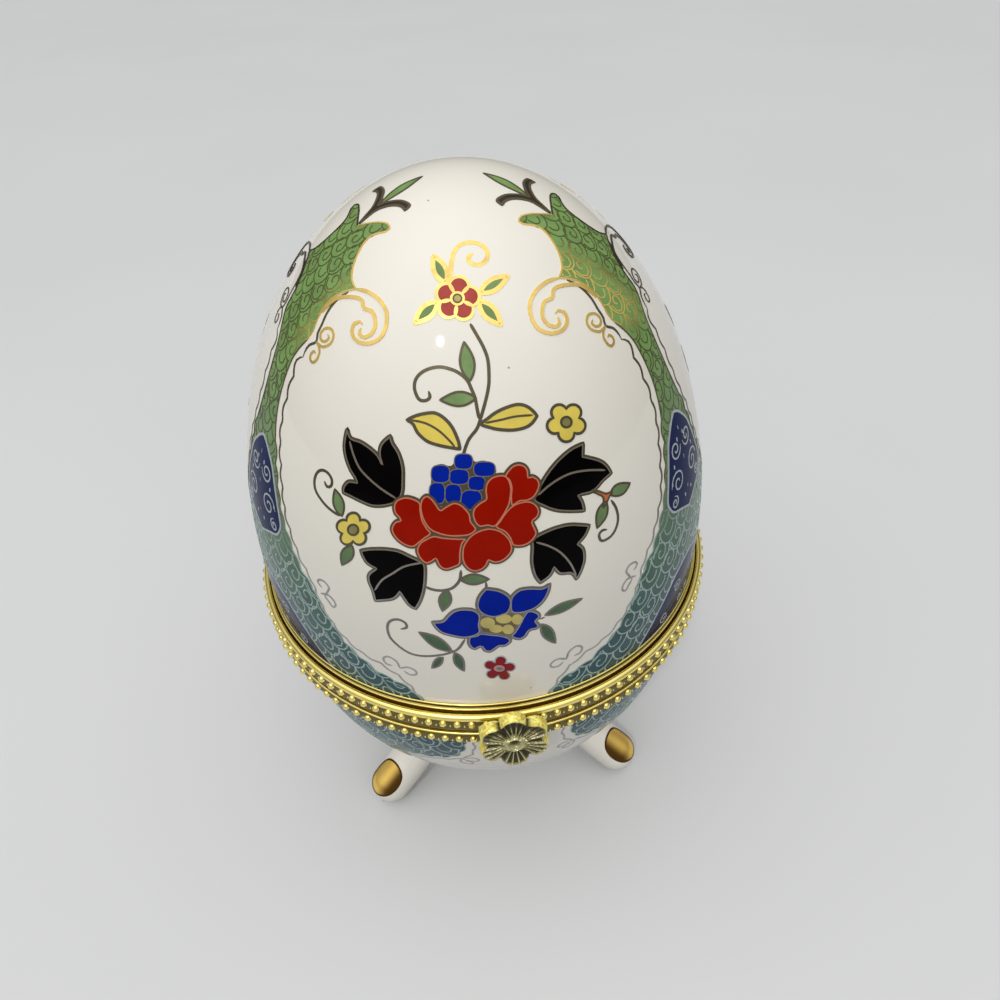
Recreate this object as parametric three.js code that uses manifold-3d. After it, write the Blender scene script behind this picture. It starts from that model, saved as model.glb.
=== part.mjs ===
// Egg trinket box: a porcelain egg on three feet, parted by two gilt metal collars that a hinge joins.
// Millimetres, +Z up. The origin is on the ground under the egg's axis, the clasp faces -Y and the
// hinge is at +Y. The lid is drawn closed.
import * as THREE from "three";
import { mergeVertices } from "three/addons/utils/BufferGeometryUtils.js";
import Module from "manifold-3d";

const wasm = await Module();
wasm.setup();

// Porcelain shells: half an ellipse of revolution each, with a short straight skirt at the rim
const SHELL_RADIUS = 36.1;
const SHELL_WALL = 3;
const LID_RISE = 55.4;
const LID_SKIRT = 8;
const BOWL_DEPTH = 42.6;
const BOWL_SKIRT = 1.25;
const GROUND_CLEARANCE = 14.3;

// Collars: thin metal channels that grip the two rims and meet at the parting line
const COLLAR_SHEET = 0.6;
const COLLAR_INNER_LIP = 2.6;
const LID_COLLAR_HEIGHT = 3.6;
const BASE_COLLAR_HEIGHT = 2.65;
const FLANGE_OVERHANG = 0.85;
const FLANGE_THICKNESS = 0.35;
const RIDGE_RADIUS = 0.45;
const RIDGE_OFFSET = 0.15;
const RIDGE_BELOW_LIP = 0.4;
const LIP_THICKNESS = 0.25;
const PARTING_GAP = 0.3;
const SEAT_GAP = 0.3;

// Bead bands: strips with a row of raised beads, soldered round each collar
const BAND_THICKNESS = 0.55;
const BAND_SEAT = 0.2;
const BAND_EDGE_GAP = 0.1;
const BEAD_RADIUS = 0.55;
const BEAD_RISE = 0.5;
const BEAD_ROOT = 0.15;
const BEAD_PITCH = 2.02;
const BEAD_BELOW_RIDGE = 1.1;
const BEAD_ABOVE_EDGE = 1.23;

// Feet: curved porcelain legs that end in a round toe with a flat sole
const FOOT_NAMES = ["rear_foot", "front_left_foot", "front_right_foot"];
const FOOT_TOP_RADIUS = 5;
const FOOT_TOE_RADIUS = 3.6;
const FOOT_ROOT_REACH = 12.5;
const FOOT_BEND_REACH = 19.5;
const FOOT_BEND_HEIGHT = 11;
const FOOT_TOE_REACH = 29;
const FOOT_ROOT_DEPTH = 4.5;
const SOLE_CUT = 0.35;

// Hinge: a leaf on each collar, with knuckles that share one pin
const HINGE_LENGTH = 14;
const HINGE_LEAF_THICKNESS = 0.55;
const HINGE_LEAF_HEIGHT = 2.5;
const HINGE_LEAF_CLEARANCE = 0.2;
const HINGE_BARREL_RADIUS = 1.5;
const HINGE_BARREL_SINK = 0.35;
const HINGE_PIN_RADIUS = 0.6;
const HINGE_PIN_HEAD_RADIUS = 1.05;
const HINGE_PIN_HEAD_THICKNESS = 0.5;
const HINGE_BORE_GAP = 0.3;
const HINGE_KNUCKLE_GAP = 0.3;
const HINGE_CENTRE_KNUCKLE = 5;
const HINGE_OPEN_ANGLE = THREE.MathUtils.degToRad(75);
const HINGE_HEEL_REACH = 0.35;
const HINGE_STOP_GAP = 0.3;

// Clasp: a cast flower on a bent spring tongue, which rides over a catch block on the base
const FLOWER_PETALS = 6;
const FLOWER_PETAL_RADIUS = 1.9;
const FLOWER_PETAL_CENTRE = 3.25;
const FLOWER_THICKNESS = 1.75;
const FLOWER_EDGE_ROUND = 0.4;
const FLOWER_DIMPLE_RADIUS = 1.1;
const FLOWER_DIMPLE_DEPTH = 0.5;
const FLOWER_ABOVE_PARTING = 1.5;
const TONGUE_WIDTH = 4.4;
const TONGUE_THICKNESS = 0.45;
const TONGUE_CLEARANCE = 0.2;
const TONGUE_BELOW_PARTING = 2.6;
const CATCH_GAP = 0.3;
const NOTCH_GAP = 0.3;

// Roundness of the faceted solids
const ROUND_SEGMENTS = 48;
const SHELL_STEPS = 9;
const FOOT_SEGMENTS = 14;
const FOOT_STEPS = 7;
const TOE_STEPS = 4;
const BARREL_SEGMENTS = 16;
const BEAD_SIDES = 6;
const RIDGE_STEPS = 4;
const LEAF_SEGMENTS = 6;
const PETAL_SEGMENTS = 5;
const PETAL_ROUND_STEPS = 1;
const DIMPLE_SEGMENTS = 10;
const DIMPLE_STEPS = 6;

// Heights, from the ground up
const BOWL_WIDEST_Z = GROUND_CLEARANCE + BOWL_DEPTH;
const BOWL_RIM_Z = BOWL_WIDEST_Z + BOWL_SKIRT;
const BASE_COLLAR_TOP_Z = BOWL_RIM_Z + SEAT_GAP + COLLAR_SHEET;
const BASE_COLLAR_BOTTOM_Z = BASE_COLLAR_TOP_Z - BASE_COLLAR_HEIGHT;
const PARTING_Z = BASE_COLLAR_TOP_Z + PARTING_GAP / 2;
const LID_COLLAR_BOTTOM_Z = BASE_COLLAR_TOP_Z + PARTING_GAP;
const LID_COLLAR_TOP_Z = LID_COLLAR_BOTTOM_Z + LID_COLLAR_HEIGHT;
const LID_RIM_Z = LID_COLLAR_BOTTOM_Z + COLLAR_SHEET + SEAT_GAP;
const LID_WIDEST_Z = LID_RIM_Z + LID_SKIRT;
const RIDGE_Z = LID_COLLAR_TOP_Z - RIDGE_BELOW_LIP;
const LID_BEAD_Z = RIDGE_Z - BEAD_BELOW_RIDGE;
const BASE_BEAD_Z = BASE_COLLAR_BOTTOM_Z + BEAD_ABOVE_EDGE;

// Radii, from the porcelain outwards
const SHELL_INNER = SHELL_RADIUS - SHELL_WALL;
const COLLAR_INNER = SHELL_RADIUS + SEAT_GAP;
const COLLAR_OUTER = COLLAR_INNER + COLLAR_SHEET;
const LIP_OUTER = SHELL_INNER - SEAT_GAP;
const LIP_INNER = LIP_OUTER - COLLAR_SHEET;
const BAND_INNER = COLLAR_OUTER + BAND_SEAT;
const BAND_OUTER = BAND_INNER + BAND_THICKNESS;
const BEAD_REACH = BAND_OUTER + BEAD_RISE;
const LEAF_INNER = BEAD_REACH + HINGE_LEAF_CLEARANCE;
const LEAF_OUTER = LEAF_INNER + HINGE_LEAF_THICKNESS;
const HINGE_Y = LEAF_OUTER + HINGE_BARREL_RADIUS - HINGE_BARREL_SINK;
const TONGUE_BACK = BEAD_REACH + TONGUE_CLEARANCE;
const TONGUE_FRONT = TONGUE_BACK + TONGUE_THICKNESS;
const CATCH_FRONT = TONGUE_BACK - CATCH_GAP;
const NOTCH_WIDTH = TONGUE_WIDTH + 2 * NOTCH_GAP;

const porcelain = new THREE.MeshStandardMaterial({ color: 0xece6da, roughness: 0.12, metalness: 0 });
const polishedGilt = new THREE.MeshStandardMaterial({ color: 0xd9b245, roughness: 0.18, metalness: 1 });
const satinGilt = new THREE.MeshStandardMaterial({ color: 0xb39a4a, roughness: 0.4, metalness: 1 });

const TURN_UPRIGHT = new THREE.Matrix4().makeRotationX(Math.PI / 2);

// A closed solid for joining and cutting, from any closed geometry
function solidFrom(geometry) {
  const bare = geometry.clone();
  bare.deleteAttribute("normal");
  bare.deleteAttribute("uv");
  const merged = mergeVertices(bare);
  const corners = merged.index.array;
  const triangles = [];
  for (let i = 0; i < corners.length; i += 3) {
    const [a, b, c] = corners.slice(i, i + 3);
    if (a !== b && b !== c && c !== a) {
      triangles.push(a, b, c);
    }
  }
  const mesh = new wasm.Mesh({
    numProp: 3,
    vertProperties: new Float32Array(merged.attributes.position.array),
    triVerts: new Uint32Array(triangles),
  });
  return new wasm.Manifold(mesh);
}

function geometryFrom(solid) {
  const mesh = solid.getMesh();
  const geometry = new THREE.BufferGeometry();
  geometry.setAttribute("position", new THREE.BufferAttribute(mesh.vertProperties, 3));
  geometry.setIndex(new THREE.BufferAttribute(mesh.triVerts, 1));
  return geometry;
}

function piece(name, material, solid) {
  const mesh = new THREE.Mesh(geometryFrom(solid), material);
  mesh.name = name;
  return mesh;
}

// A solid turned about the Z axis; the outline runs [radius, height], up its outer side
function turned(outline, segments = ROUND_SEGMENTS) {
  const points = outline.map(([radius, height]) => new THREE.Vector2(radius, height));
  return new THREE.LatheGeometry(points, segments).applyMatrix4(TURN_UPRIGHT);
}

function closedTurned(outline) {
  return turned([...outline, outline[0]]);
}

// A quarter ellipse as [radius, height] points, from its widest line to the axis
function quarterEllipse(radius, rise, widestZ) {
  const points = [];
  for (let i = 0; i <= SHELL_STEPS; i += 1) {
    const angle = (Math.PI / 2) * (i / SHELL_STEPS);
    const reach = i === SHELL_STEPS ? 0 : radius * Math.cos(angle);
    points.push([reach, widestZ + rise * Math.sin(angle)]);
  }
  return points;
}

function lidShell() {
  const outside = quarterEllipse(SHELL_RADIUS, LID_RISE, LID_WIDEST_Z);
  const inside = quarterEllipse(SHELL_INNER, LID_RISE - SHELL_WALL, LID_WIDEST_Z).reverse();
  const rim = [[SHELL_INNER, LID_RIM_Z], [SHELL_RADIUS, LID_RIM_Z]];
  return solidFrom(turned([...inside, ...rim, ...outside]));
}

function bowlOutside(growth) {
  return quarterEllipse(SHELL_RADIUS + growth, -BOWL_DEPTH - growth, BOWL_WIDEST_Z).reverse();
}

function baseBowl() {
  const inside = quarterEllipse(SHELL_INNER, SHELL_WALL - BOWL_DEPTH, BOWL_WIDEST_Z);
  const rim = [[SHELL_RADIUS, BOWL_RIM_Z], [SHELL_INNER, BOWL_RIM_Z]];
  return solidFrom(turned([...bowlOutside(0), ...rim, ...inside]));
}

// The lid's collar: flange at the parting line, round ridge on its shoulder, thin lip on the porcelain
function lidCollar() {
  const ridgeCentre = COLLAR_OUTER + RIDGE_OFFSET;
  const ridge = [];
  for (let i = 0; i <= RIDGE_STEPS; i += 1) {
    const angle = Math.PI * (i / RIDGE_STEPS - 0.5);
    ridge.push([ridgeCentre + RIDGE_RADIUS * Math.cos(angle), RIDGE_Z + RIDGE_RADIUS * Math.sin(angle)]);
  }
  const lip = COLLAR_INNER + LIP_THICKNESS;
  const webTop = LID_COLLAR_BOTTOM_Z + COLLAR_SHEET;
  return solidFrom(closedTurned([
    [COLLAR_OUTER + FLANGE_OVERHANG, LID_COLLAR_BOTTOM_Z],
    [COLLAR_OUTER + FLANGE_OVERHANG, LID_COLLAR_BOTTOM_Z + FLANGE_THICKNESS],
    [COLLAR_OUTER, LID_COLLAR_BOTTOM_Z + FLANGE_THICKNESS],
    [COLLAR_OUTER, RIDGE_Z - RIDGE_RADIUS],
    ...ridge,
    [lip, RIDGE_Z],
    [lip, LID_COLLAR_TOP_Z],
    [COLLAR_INNER, LID_COLLAR_TOP_Z],
    [COLLAR_INNER, webTop],
    [LIP_OUTER, webTop],
    [LIP_OUTER, webTop + COLLAR_INNER_LIP],
    [LIP_INNER, webTop + COLLAR_INNER_LIP],
    [LIP_INNER, LID_COLLAR_BOTTOM_Z],
  ]));
}

function baseCollar() {
  const webBottom = BASE_COLLAR_TOP_Z - COLLAR_SHEET;
  return solidFrom(closedTurned([
    [COLLAR_OUTER, BASE_COLLAR_BOTTOM_Z],
    [COLLAR_OUTER, BASE_COLLAR_TOP_Z - FLANGE_THICKNESS],
    [COLLAR_OUTER + FLANGE_OVERHANG, BASE_COLLAR_TOP_Z - FLANGE_THICKNESS],
    [COLLAR_OUTER + FLANGE_OVERHANG, BASE_COLLAR_TOP_Z],
    [LIP_INNER, BASE_COLLAR_TOP_Z],
    [LIP_INNER, webBottom - COLLAR_INNER_LIP],
    [LIP_OUTER, webBottom - COLLAR_INNER_LIP],
    [LIP_OUTER, webBottom],
    [COLLAR_INNER, webBottom],
    [COLLAR_INNER, BASE_COLLAR_BOTTOM_Z],
  ]));
}

// A beaded strip round a collar, open at the front where the clasp's metalwork sits
function beadBand(bottomZ, topZ, beadZ) {
  const count = Math.round((2 * Math.PI * BAND_OUTER) / BEAD_PITCH);
  const strip = turned([
    [BAND_OUTER, bottomZ],
    [BAND_OUTER, topZ],
    [BAND_INNER, topZ],
    [BAND_INNER, bottomZ],
    [BAND_OUTER, bottomZ],
  ], count);
  const step = (2 * Math.PI) / count;
  const faceRadius = BAND_OUTER * Math.cos(step / 2);
  const beadHeight = BEAD_RISE + BEAD_ROOT;
  let band = solidFrom(strip);
  for (let i = 0; i < count; i += 1) {
    const angle = (i + 0.5) * step;
    const bead = new THREE.ConeGeometry(BEAD_RADIUS, beadHeight, BEAD_SIDES);
    bead.rotateX(Math.PI);
    bead.translate(0, beadHeight / 2 - BEAD_RISE - faceRadius, beadZ);
    bead.rotateZ(angle);
    band = band.add(solidFrom(bead));
  }
  const notch = new THREE.BoxGeometry(NOTCH_WIDTH, BEAD_REACH, 2 * (topZ - bottomZ));
  notch.translate(0, -BEAD_REACH, (bottomZ + topZ) / 2);
  return band.subtract(solidFrom(notch));
}

// One curved leg towards -Y: a turned body bent along a curve, cut to the bowl and to the ground
function foot() {
  const toeZ = FOOT_TOE_RADIUS - SOLE_CUT;
  const path = new THREE.QuadraticBezierCurve3(
    new THREE.Vector3(0, -FOOT_ROOT_REACH, GROUND_CLEARANCE + FOOT_ROOT_DEPTH),
    new THREE.Vector3(0, -FOOT_BEND_REACH, FOOT_BEND_HEIGHT),
    new THREE.Vector3(0, -FOOT_TOE_REACH, toeZ),
  );
  const length = path.getLength();
  const outline = [new THREE.Vector2(0, 0)];
  for (let i = 0; i <= FOOT_STEPS; i += 1) {
    const share = i / FOOT_STEPS;
    outline.push(new THREE.Vector2(
      THREE.MathUtils.lerp(FOOT_TOP_RADIUS, FOOT_TOE_RADIUS, share),
      length * share,
    ));
  }
  for (let i = 1; i <= TOE_STEPS; i += 1) {
    const angle = (Math.PI / 2) * (i / TOE_STEPS);
    const reach = i === TOE_STEPS ? 0 : FOOT_TOE_RADIUS * Math.cos(angle);
    outline.push(new THREE.Vector2(reach, length + FOOT_TOE_RADIUS * Math.sin(angle)));
  }
  const leg = new THREE.LatheGeometry(outline, FOOT_SEGMENTS);
  const place = leg.attributes.position;
  const side = new THREE.Vector3(1, 0, 0);
  for (let i = 0; i < place.count; i += 1) {
    const along = place.getY(i);
    const share = Math.min(along / length, 1);
    const forward = path.getTangentAt(share);
    const up = new THREE.Vector3().crossVectors(side, forward);
    const point = path.getPointAt(share)
      .addScaledVector(forward, Math.max(along - length, 0))
      .addScaledVector(side, place.getX(i))
      .addScaledVector(up, place.getZ(i));
    place.setXYZ(i, point.x, point.y, point.z);
  }
  const bowlCut = turned([...bowlOutside(SEAT_GAP), [SHELL_RADIUS + SEAT_GAP, BOWL_RIM_Z], [0, BOWL_RIM_Z]]);
  const groundCut = new THREE.BoxGeometry(4 * FOOT_TOE_REACH, 4 * FOOT_TOE_REACH, 2 * FOOT_TOE_RADIUS);
  groundCut.translate(0, 0, -FOOT_TOE_RADIUS);
  return solidFrom(leg).subtract(solidFrom(bowlCut)).subtract(solidFrom(groundCut));
}

// A round bar along X on the hinge's axis
function hingeBar(radius, fromX, toX) {
  const bar = new THREE.CylinderGeometry(radius, radius, toX - fromX, BARREL_SEGMENTS);
  bar.rotateZ(Math.PI / 2);
  bar.translate((fromX + toX) / 2, HINGE_Y, PARTING_Z);
  return solidFrom(bar);
}

// A curved plate against the back of the collar
function hingePlate(bottomZ) {
  const half = Math.asin(HINGE_LENGTH / 2 / LEAF_OUTER);
  const shape = new THREE.Shape();
  shape.absarc(0, 0, LEAF_OUTER, Math.PI / 2 - half, Math.PI / 2 + half, false);
  shape.absarc(0, 0, LEAF_INNER, Math.PI / 2 + half, Math.PI / 2 - half, true);
  const plate = new THREE.ExtrudeGeometry(shape, {
    depth: HINGE_LEAF_HEIGHT,
    bevelEnabled: false,
    curveSegments: LEAF_SEGMENTS,
  });
  plate.translate(0, 0, bottomZ);
  return solidFrom(plate);
}

const CENTRE_END = HINGE_CENTRE_KNUCKLE / 2;
const OUTER_START = CENTRE_END + HINGE_KNUCKLE_GAP;
const OUTER_END = HINGE_LENGTH / 2;
const BORE_RADIUS = HINGE_PIN_RADIUS + HINGE_BORE_GAP;
const SWEEP_RADIUS = HINGE_BARREL_RADIUS + HINGE_KNUCKLE_GAP;

function pinBore() {
  return hingeBar(BORE_RADIUS, -HINGE_LENGTH, HINGE_LENGTH);
}

function lidHingeLeaf() {
  const sides = [-1, 1].map((way) => {
    const near = way * CENTRE_END;
    const far = way * HINGE_LENGTH;
    return hingeBar(SWEEP_RADIUS, Math.min(near, far), Math.max(near, far));
  });
  return hingePlate(LID_COLLAR_BOTTOM_Z)
    .subtract(sides[0])
    .subtract(sides[1])
    .add(hingeBar(HINGE_BARREL_RADIUS, -CENTRE_END, CENTRE_END))
    .subtract(pinBore());
}

// A heel on the outer knuckles, on which the opened lid's leaf comes to rest
function hingeHeel(fromX, toX) {
  const leafBehindAxis = HINGE_Y - LEAF_OUTER;
  const reach = HINGE_BARREL_RADIUS + HINGE_HEEL_REACH;
  const stopHeight = (outwards) => {
    const openLeaf = leafBehindAxis / Math.sin(HINGE_OPEN_ANGLE) + outwards / Math.tan(HINGE_OPEN_ANGLE);
    return openLeaf - HINGE_STOP_GAP / Math.sin(HINGE_OPEN_ANGLE);
  };
  const inner = HINGE_BARREL_RADIUS / 2;
  const shape = new THREE.Shape();
  shape.moveTo(inner, 0);
  shape.lineTo(HINGE_BARREL_RADIUS, 0);
  shape.lineTo(reach, HINGE_HEEL_REACH);
  shape.lineTo(reach, stopHeight(reach));
  shape.lineTo(inner, stopHeight(inner));
  shape.closePath();
  const heel = new THREE.ExtrudeGeometry(shape, { depth: toX - fromX, bevelEnabled: false });
  heel.rotateX(Math.PI / 2);
  heel.rotateZ(Math.PI / 2);
  heel.translate(fromX, HINGE_Y, PARTING_Z);
  return solidFrom(heel);
}

function baseHingeLeaf() {
  let leaf = hingePlate(BASE_COLLAR_TOP_Z - HINGE_LEAF_HEIGHT)
    .subtract(hingeBar(SWEEP_RADIUS, -OUTER_START, OUTER_START));
  for (const [fromX, toX] of [[-OUTER_END, -OUTER_START], [OUTER_START, OUTER_END]]) {
    leaf = leaf.add(hingeBar(HINGE_BARREL_RADIUS, fromX, toX)).add(hingeHeel(fromX, toX));
  }
  return leaf.subtract(pinBore());
}

// The hinge pin, with a flat head beyond each end of the barrel
function hingePin() {
  const headStart = HINGE_LENGTH / 2 + HINGE_KNUCKLE_GAP;
  const headEnd = headStart + HINGE_PIN_HEAD_THICKNESS;
  const pin = turned([
    [0, -headEnd],
    [HINGE_PIN_HEAD_RADIUS, -headEnd],
    [HINGE_PIN_HEAD_RADIUS, -headStart],
    [HINGE_PIN_RADIUS, -headStart],
    [HINGE_PIN_RADIUS, headStart],
    [HINGE_PIN_HEAD_RADIUS, headStart],
    [HINGE_PIN_HEAD_RADIUS, headEnd],
    [0, headEnd],
  ], BARREL_SEGMENTS);
  pin.rotateY(Math.PI / 2);
  pin.translate(0, HINGE_Y, PARTING_Z);
  return solidFrom(pin);
}

// The cast flower, its face towards -Y with a dimple in its middle
function claspFlower() {
  const centre = FLOWER_PETAL_CENTRE;
  const turn = Math.PI / FLOWER_PETALS;
  const halfArc = Math.PI / 2 + turn - Math.acos((centre * Math.sin(turn)) / FLOWER_PETAL_RADIUS);
  const shape = new THREE.Shape();
  for (let i = 0; i < FLOWER_PETALS; i += 1) {
    const angle = Math.PI / 2 + 2 * turn * i;
    shape.absarc(
      centre * Math.cos(angle),
      centre * Math.sin(angle),
      FLOWER_PETAL_RADIUS,
      angle - halfArc,
      angle + halfArc,
      false,
    );
  }
  const flower = new THREE.ExtrudeGeometry(shape, {
    depth: FLOWER_THICKNESS - 2 * FLOWER_EDGE_ROUND,
    bevelThickness: FLOWER_EDGE_ROUND,
    bevelSize: FLOWER_EDGE_ROUND,
    bevelOffset: -FLOWER_EDGE_ROUND,
    bevelSegments: PETAL_ROUND_STEPS,
    curveSegments: PETAL_SEGMENTS,
  });
  flower.translate(0, 0, FLOWER_EDGE_ROUND);
  const dimple = new THREE.SphereGeometry(FLOWER_DIMPLE_RADIUS, DIMPLE_SEGMENTS, DIMPLE_STEPS);
  dimple.scale(1, 1, FLOWER_DIMPLE_DEPTH / FLOWER_DIMPLE_RADIUS);
  dimple.translate(0, 0, FLOWER_THICKNESS);
  const cast = geometryFrom(solidFrom(flower).subtract(solidFrom(dimple)));
  cast.rotateX(Math.PI / 2);
  cast.translate(0, -TONGUE_FRONT, PARTING_Z + FLOWER_ABOVE_PARTING);
  return solidFrom(cast);
}

// A block across the middle of the front; its outline runs [distance before the axis, height]
function frontBlock(outline) {
  const shape = new THREE.Shape(outline.map(([before, height]) => new THREE.Vector2(before, height)));
  const block = new THREE.ExtrudeGeometry(shape, { depth: TONGUE_WIDTH, bevelEnabled: false });
  block.rotateX(Math.PI / 2);
  block.rotateZ(-Math.PI / 2);
  block.translate(TONGUE_WIDTH / 2, 0, 0);
  return solidFrom(block);
}

const LID_BAND_BOTTOM_Z = LID_COLLAR_BOTTOM_Z + FLANGE_THICKNESS + BAND_EDGE_GAP;
const LID_BAND_TOP_Z = RIDGE_Z - RIDGE_RADIUS - BAND_EDGE_GAP;
const BASE_BAND_BOTTOM_Z = BASE_COLLAR_BOTTOM_Z + BAND_EDGE_GAP;
const BASE_BAND_TOP_Z = BASE_COLLAR_TOP_Z - FLANGE_THICKNESS - BAND_EDGE_GAP;

// The spring tongue: its root sits in the lid band's notch, and its blade hangs before the catch
function claspTongue() {
  return frontBlock([
    [BAND_INNER, LID_BAND_BOTTOM_Z],
    [TONGUE_BACK, LID_BAND_BOTTOM_Z],
    [TONGUE_BACK, PARTING_Z - TONGUE_BELOW_PARTING],
    [TONGUE_FRONT, PARTING_Z - TONGUE_BELOW_PARTING],
    [TONGUE_FRONT, LID_BAND_TOP_Z],
    [BAND_INNER, LID_BAND_TOP_Z],
  ]);
}

function claspCatch() {
  const crown = (CATCH_FRONT - BAND_INNER) / 2;
  return frontBlock([
    [BAND_INNER, BASE_BAND_BOTTOM_Z],
    [CATCH_FRONT - crown, BASE_BAND_BOTTOM_Z],
    [CATCH_FRONT, BASE_BAND_BOTTOM_Z + crown],
    [CATCH_FRONT, BASE_BAND_TOP_Z - crown],
    [CATCH_FRONT - crown, BASE_BAND_TOP_Z],
    [BAND_INNER, BASE_BAND_TOP_Z],
  ]);
}

const base = new THREE.Group();
base.add(
  piece("base_bowl", porcelain, baseBowl()),
  piece("base_collar", polishedGilt, baseCollar()),
  piece("base_bead_band", satinGilt, beadBand(BASE_BAND_BOTTOM_Z, BASE_BAND_TOP_Z, BASE_BEAD_Z)),
  piece("base_hinge_leaf", satinGilt, baseHingeLeaf()),
  piece("hinge_pin", polishedGilt, hingePin()),
  piece("clasp_catch", satinGilt, claspCatch()),
);

const footSolid = foot();
FOOT_NAMES.forEach((name, i) => {
  const placed = piece(name, porcelain, footSolid);
  placed.geometry.rotateZ(Math.PI + (2 * Math.PI * i) / FOOT_NAMES.length);
  base.add(placed);
});

const lid = new THREE.Group();
lid.add(
  piece("lid_shell", porcelain, lidShell()),
  piece("lid_collar", polishedGilt, lidCollar()),
  piece("lid_bead_band", satinGilt, beadBand(LID_BAND_BOTTOM_Z, LID_BAND_TOP_Z, LID_BEAD_Z)),
  piece("lid_hinge_leaf", satinGilt, lidHingeLeaf()),
  piece("clasp_tongue", satinGilt, claspTongue()),
  piece("clasp_flower", polishedGilt, claspFlower()),
);

const eggBox = new THREE.Group();
eggBox.add(base, lid);
export default eggBox;
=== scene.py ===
"""A hinged porcelain egg box on three splayed feet, with gilt collars, flower clasp and painted ornament."""
import math

import bmesh
import bpy
import numpy as np
from mathutils import Euler, Matrix, Vector
from mathutils.geometry import delaunay_2d_cdt


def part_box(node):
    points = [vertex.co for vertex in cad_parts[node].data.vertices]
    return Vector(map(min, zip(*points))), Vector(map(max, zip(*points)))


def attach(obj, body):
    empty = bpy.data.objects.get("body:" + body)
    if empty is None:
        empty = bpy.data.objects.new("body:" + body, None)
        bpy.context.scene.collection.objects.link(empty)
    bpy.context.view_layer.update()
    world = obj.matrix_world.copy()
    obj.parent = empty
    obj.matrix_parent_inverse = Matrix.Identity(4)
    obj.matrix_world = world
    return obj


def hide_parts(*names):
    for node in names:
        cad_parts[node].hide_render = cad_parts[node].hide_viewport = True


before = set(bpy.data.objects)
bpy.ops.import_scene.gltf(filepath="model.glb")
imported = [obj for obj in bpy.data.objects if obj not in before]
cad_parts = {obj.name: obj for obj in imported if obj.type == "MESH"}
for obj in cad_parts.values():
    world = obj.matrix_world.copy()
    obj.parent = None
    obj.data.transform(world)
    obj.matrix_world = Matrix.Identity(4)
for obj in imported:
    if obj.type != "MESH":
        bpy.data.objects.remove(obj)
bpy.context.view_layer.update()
MM = 0.001

# The view. The camera looks down on the clasp side of the box, from a little to its left.
# The painted spray on the front panel is set out in this view, so the camera comes first.
PICTURE_SIDE = 1000
LENS = 26.0
SENSOR = 36.0
EYE = Vector((-4.771, -91.034, 152.187)) * MM
LOOK = Euler([math.radians(angle) for angle in (47.563, 2.303, -7.288)])
NEAREST = 10 * MM

scene = bpy.context.scene
camera = bpy.data.objects.new("camera", bpy.data.cameras.new("camera"))
camera.data.lens = LENS
camera.data.sensor_width = SENSOR
camera.data.clip_start = NEAREST
camera.location = EYE
camera.rotation_euler = LOOK
scene.collection.objects.link(camera)
scene.camera = camera
scene.view_settings.view_transform = "Standard"

# Bowl: the lower half of the egg, slip-cast porcelain with a clear glaze inside and out.
# It is cast thick enough to carry the collar, which is cemented over its rim.
WALL = 3.0 * MM
BOWL_LOW, BOWL_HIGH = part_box("base_bowl")
SHELL_RADIUS = BOWL_HIGH.x
BOWL_DEPTH = 42.6 * MM
BOWL_WIDEST = BOWL_LOW.z + BOWL_DEPTH
ROUND_SEGMENTS = 240
OUTER_STEPS = 80
INNER_STEPS = 40
SOFT_CREASE = math.radians(40)


class Socket:
    """A node's output that can stand in a Python expression: each operation adds its Math node."""

    def __init__(self, tree, socket):
        self.tree = tree
        self.socket = socket

    def maths(self, operation, first, second):
        return self.tree.node("ShaderNodeMath", {"operation": operation}, {0: first, 1: second})

    def __add__(self, other):
        return self.maths("ADD", self, other)

    def __sub__(self, other):
        return self.maths("SUBTRACT", self, other)

    def __rsub__(self, other):
        return self.maths("SUBTRACT", other, self)

    def __mul__(self, other):
        return self.maths("MULTIPLY", self, other)

    def __lt__(self, other):
        return self.maths("LESS_THAN", self, other)

    def __gt__(self, other):
        return self.maths("GREATER_THAN", self, other)

    __radd__ = __add__
    __rmul__ = __mul__


class NodeTree:
    """A node tree that is filled by one call for each node."""

    def __init__(self, tree):
        self.tree = tree

    def node(self, kind, settings=None, sockets=None, output=0):
        """Adds a node with its settings, then its sockets by name or number, and gives back one output."""
        made = self.tree.nodes.new(kind)
        for key, value in (settings or {}).items():
            setattr(made, key, value)
        for key, value in (sockets or {}).items():
            target = made.inputs[key] if isinstance(key, int) else self.named(made.inputs, key)
            for link in value if isinstance(value, list) else [value]:
                if isinstance(link, Socket):
                    self.tree.links.new(link.socket, target)
                else:
                    target.default_value = link
        if not made.outputs:
            return None
        found = made.outputs[output] if isinstance(output, int) else self.named(made.outputs, output)
        return Socket(self, found)

    def named(self, sockets, key):
        return next(socket for socket in sockets if key in (socket.identifier, socket.name))


def srgb(red, green, blue):
    """A colour as it is seen on a screen, from 0 to 255, as the linear colour that a shader takes."""
    parts = [value / 255 for value in (red, green, blue)]
    return (*(part / 12.92 if part < 0.04 else ((part + 0.055) / 1.055) ** 2.4 for part in parts), 1)


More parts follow.
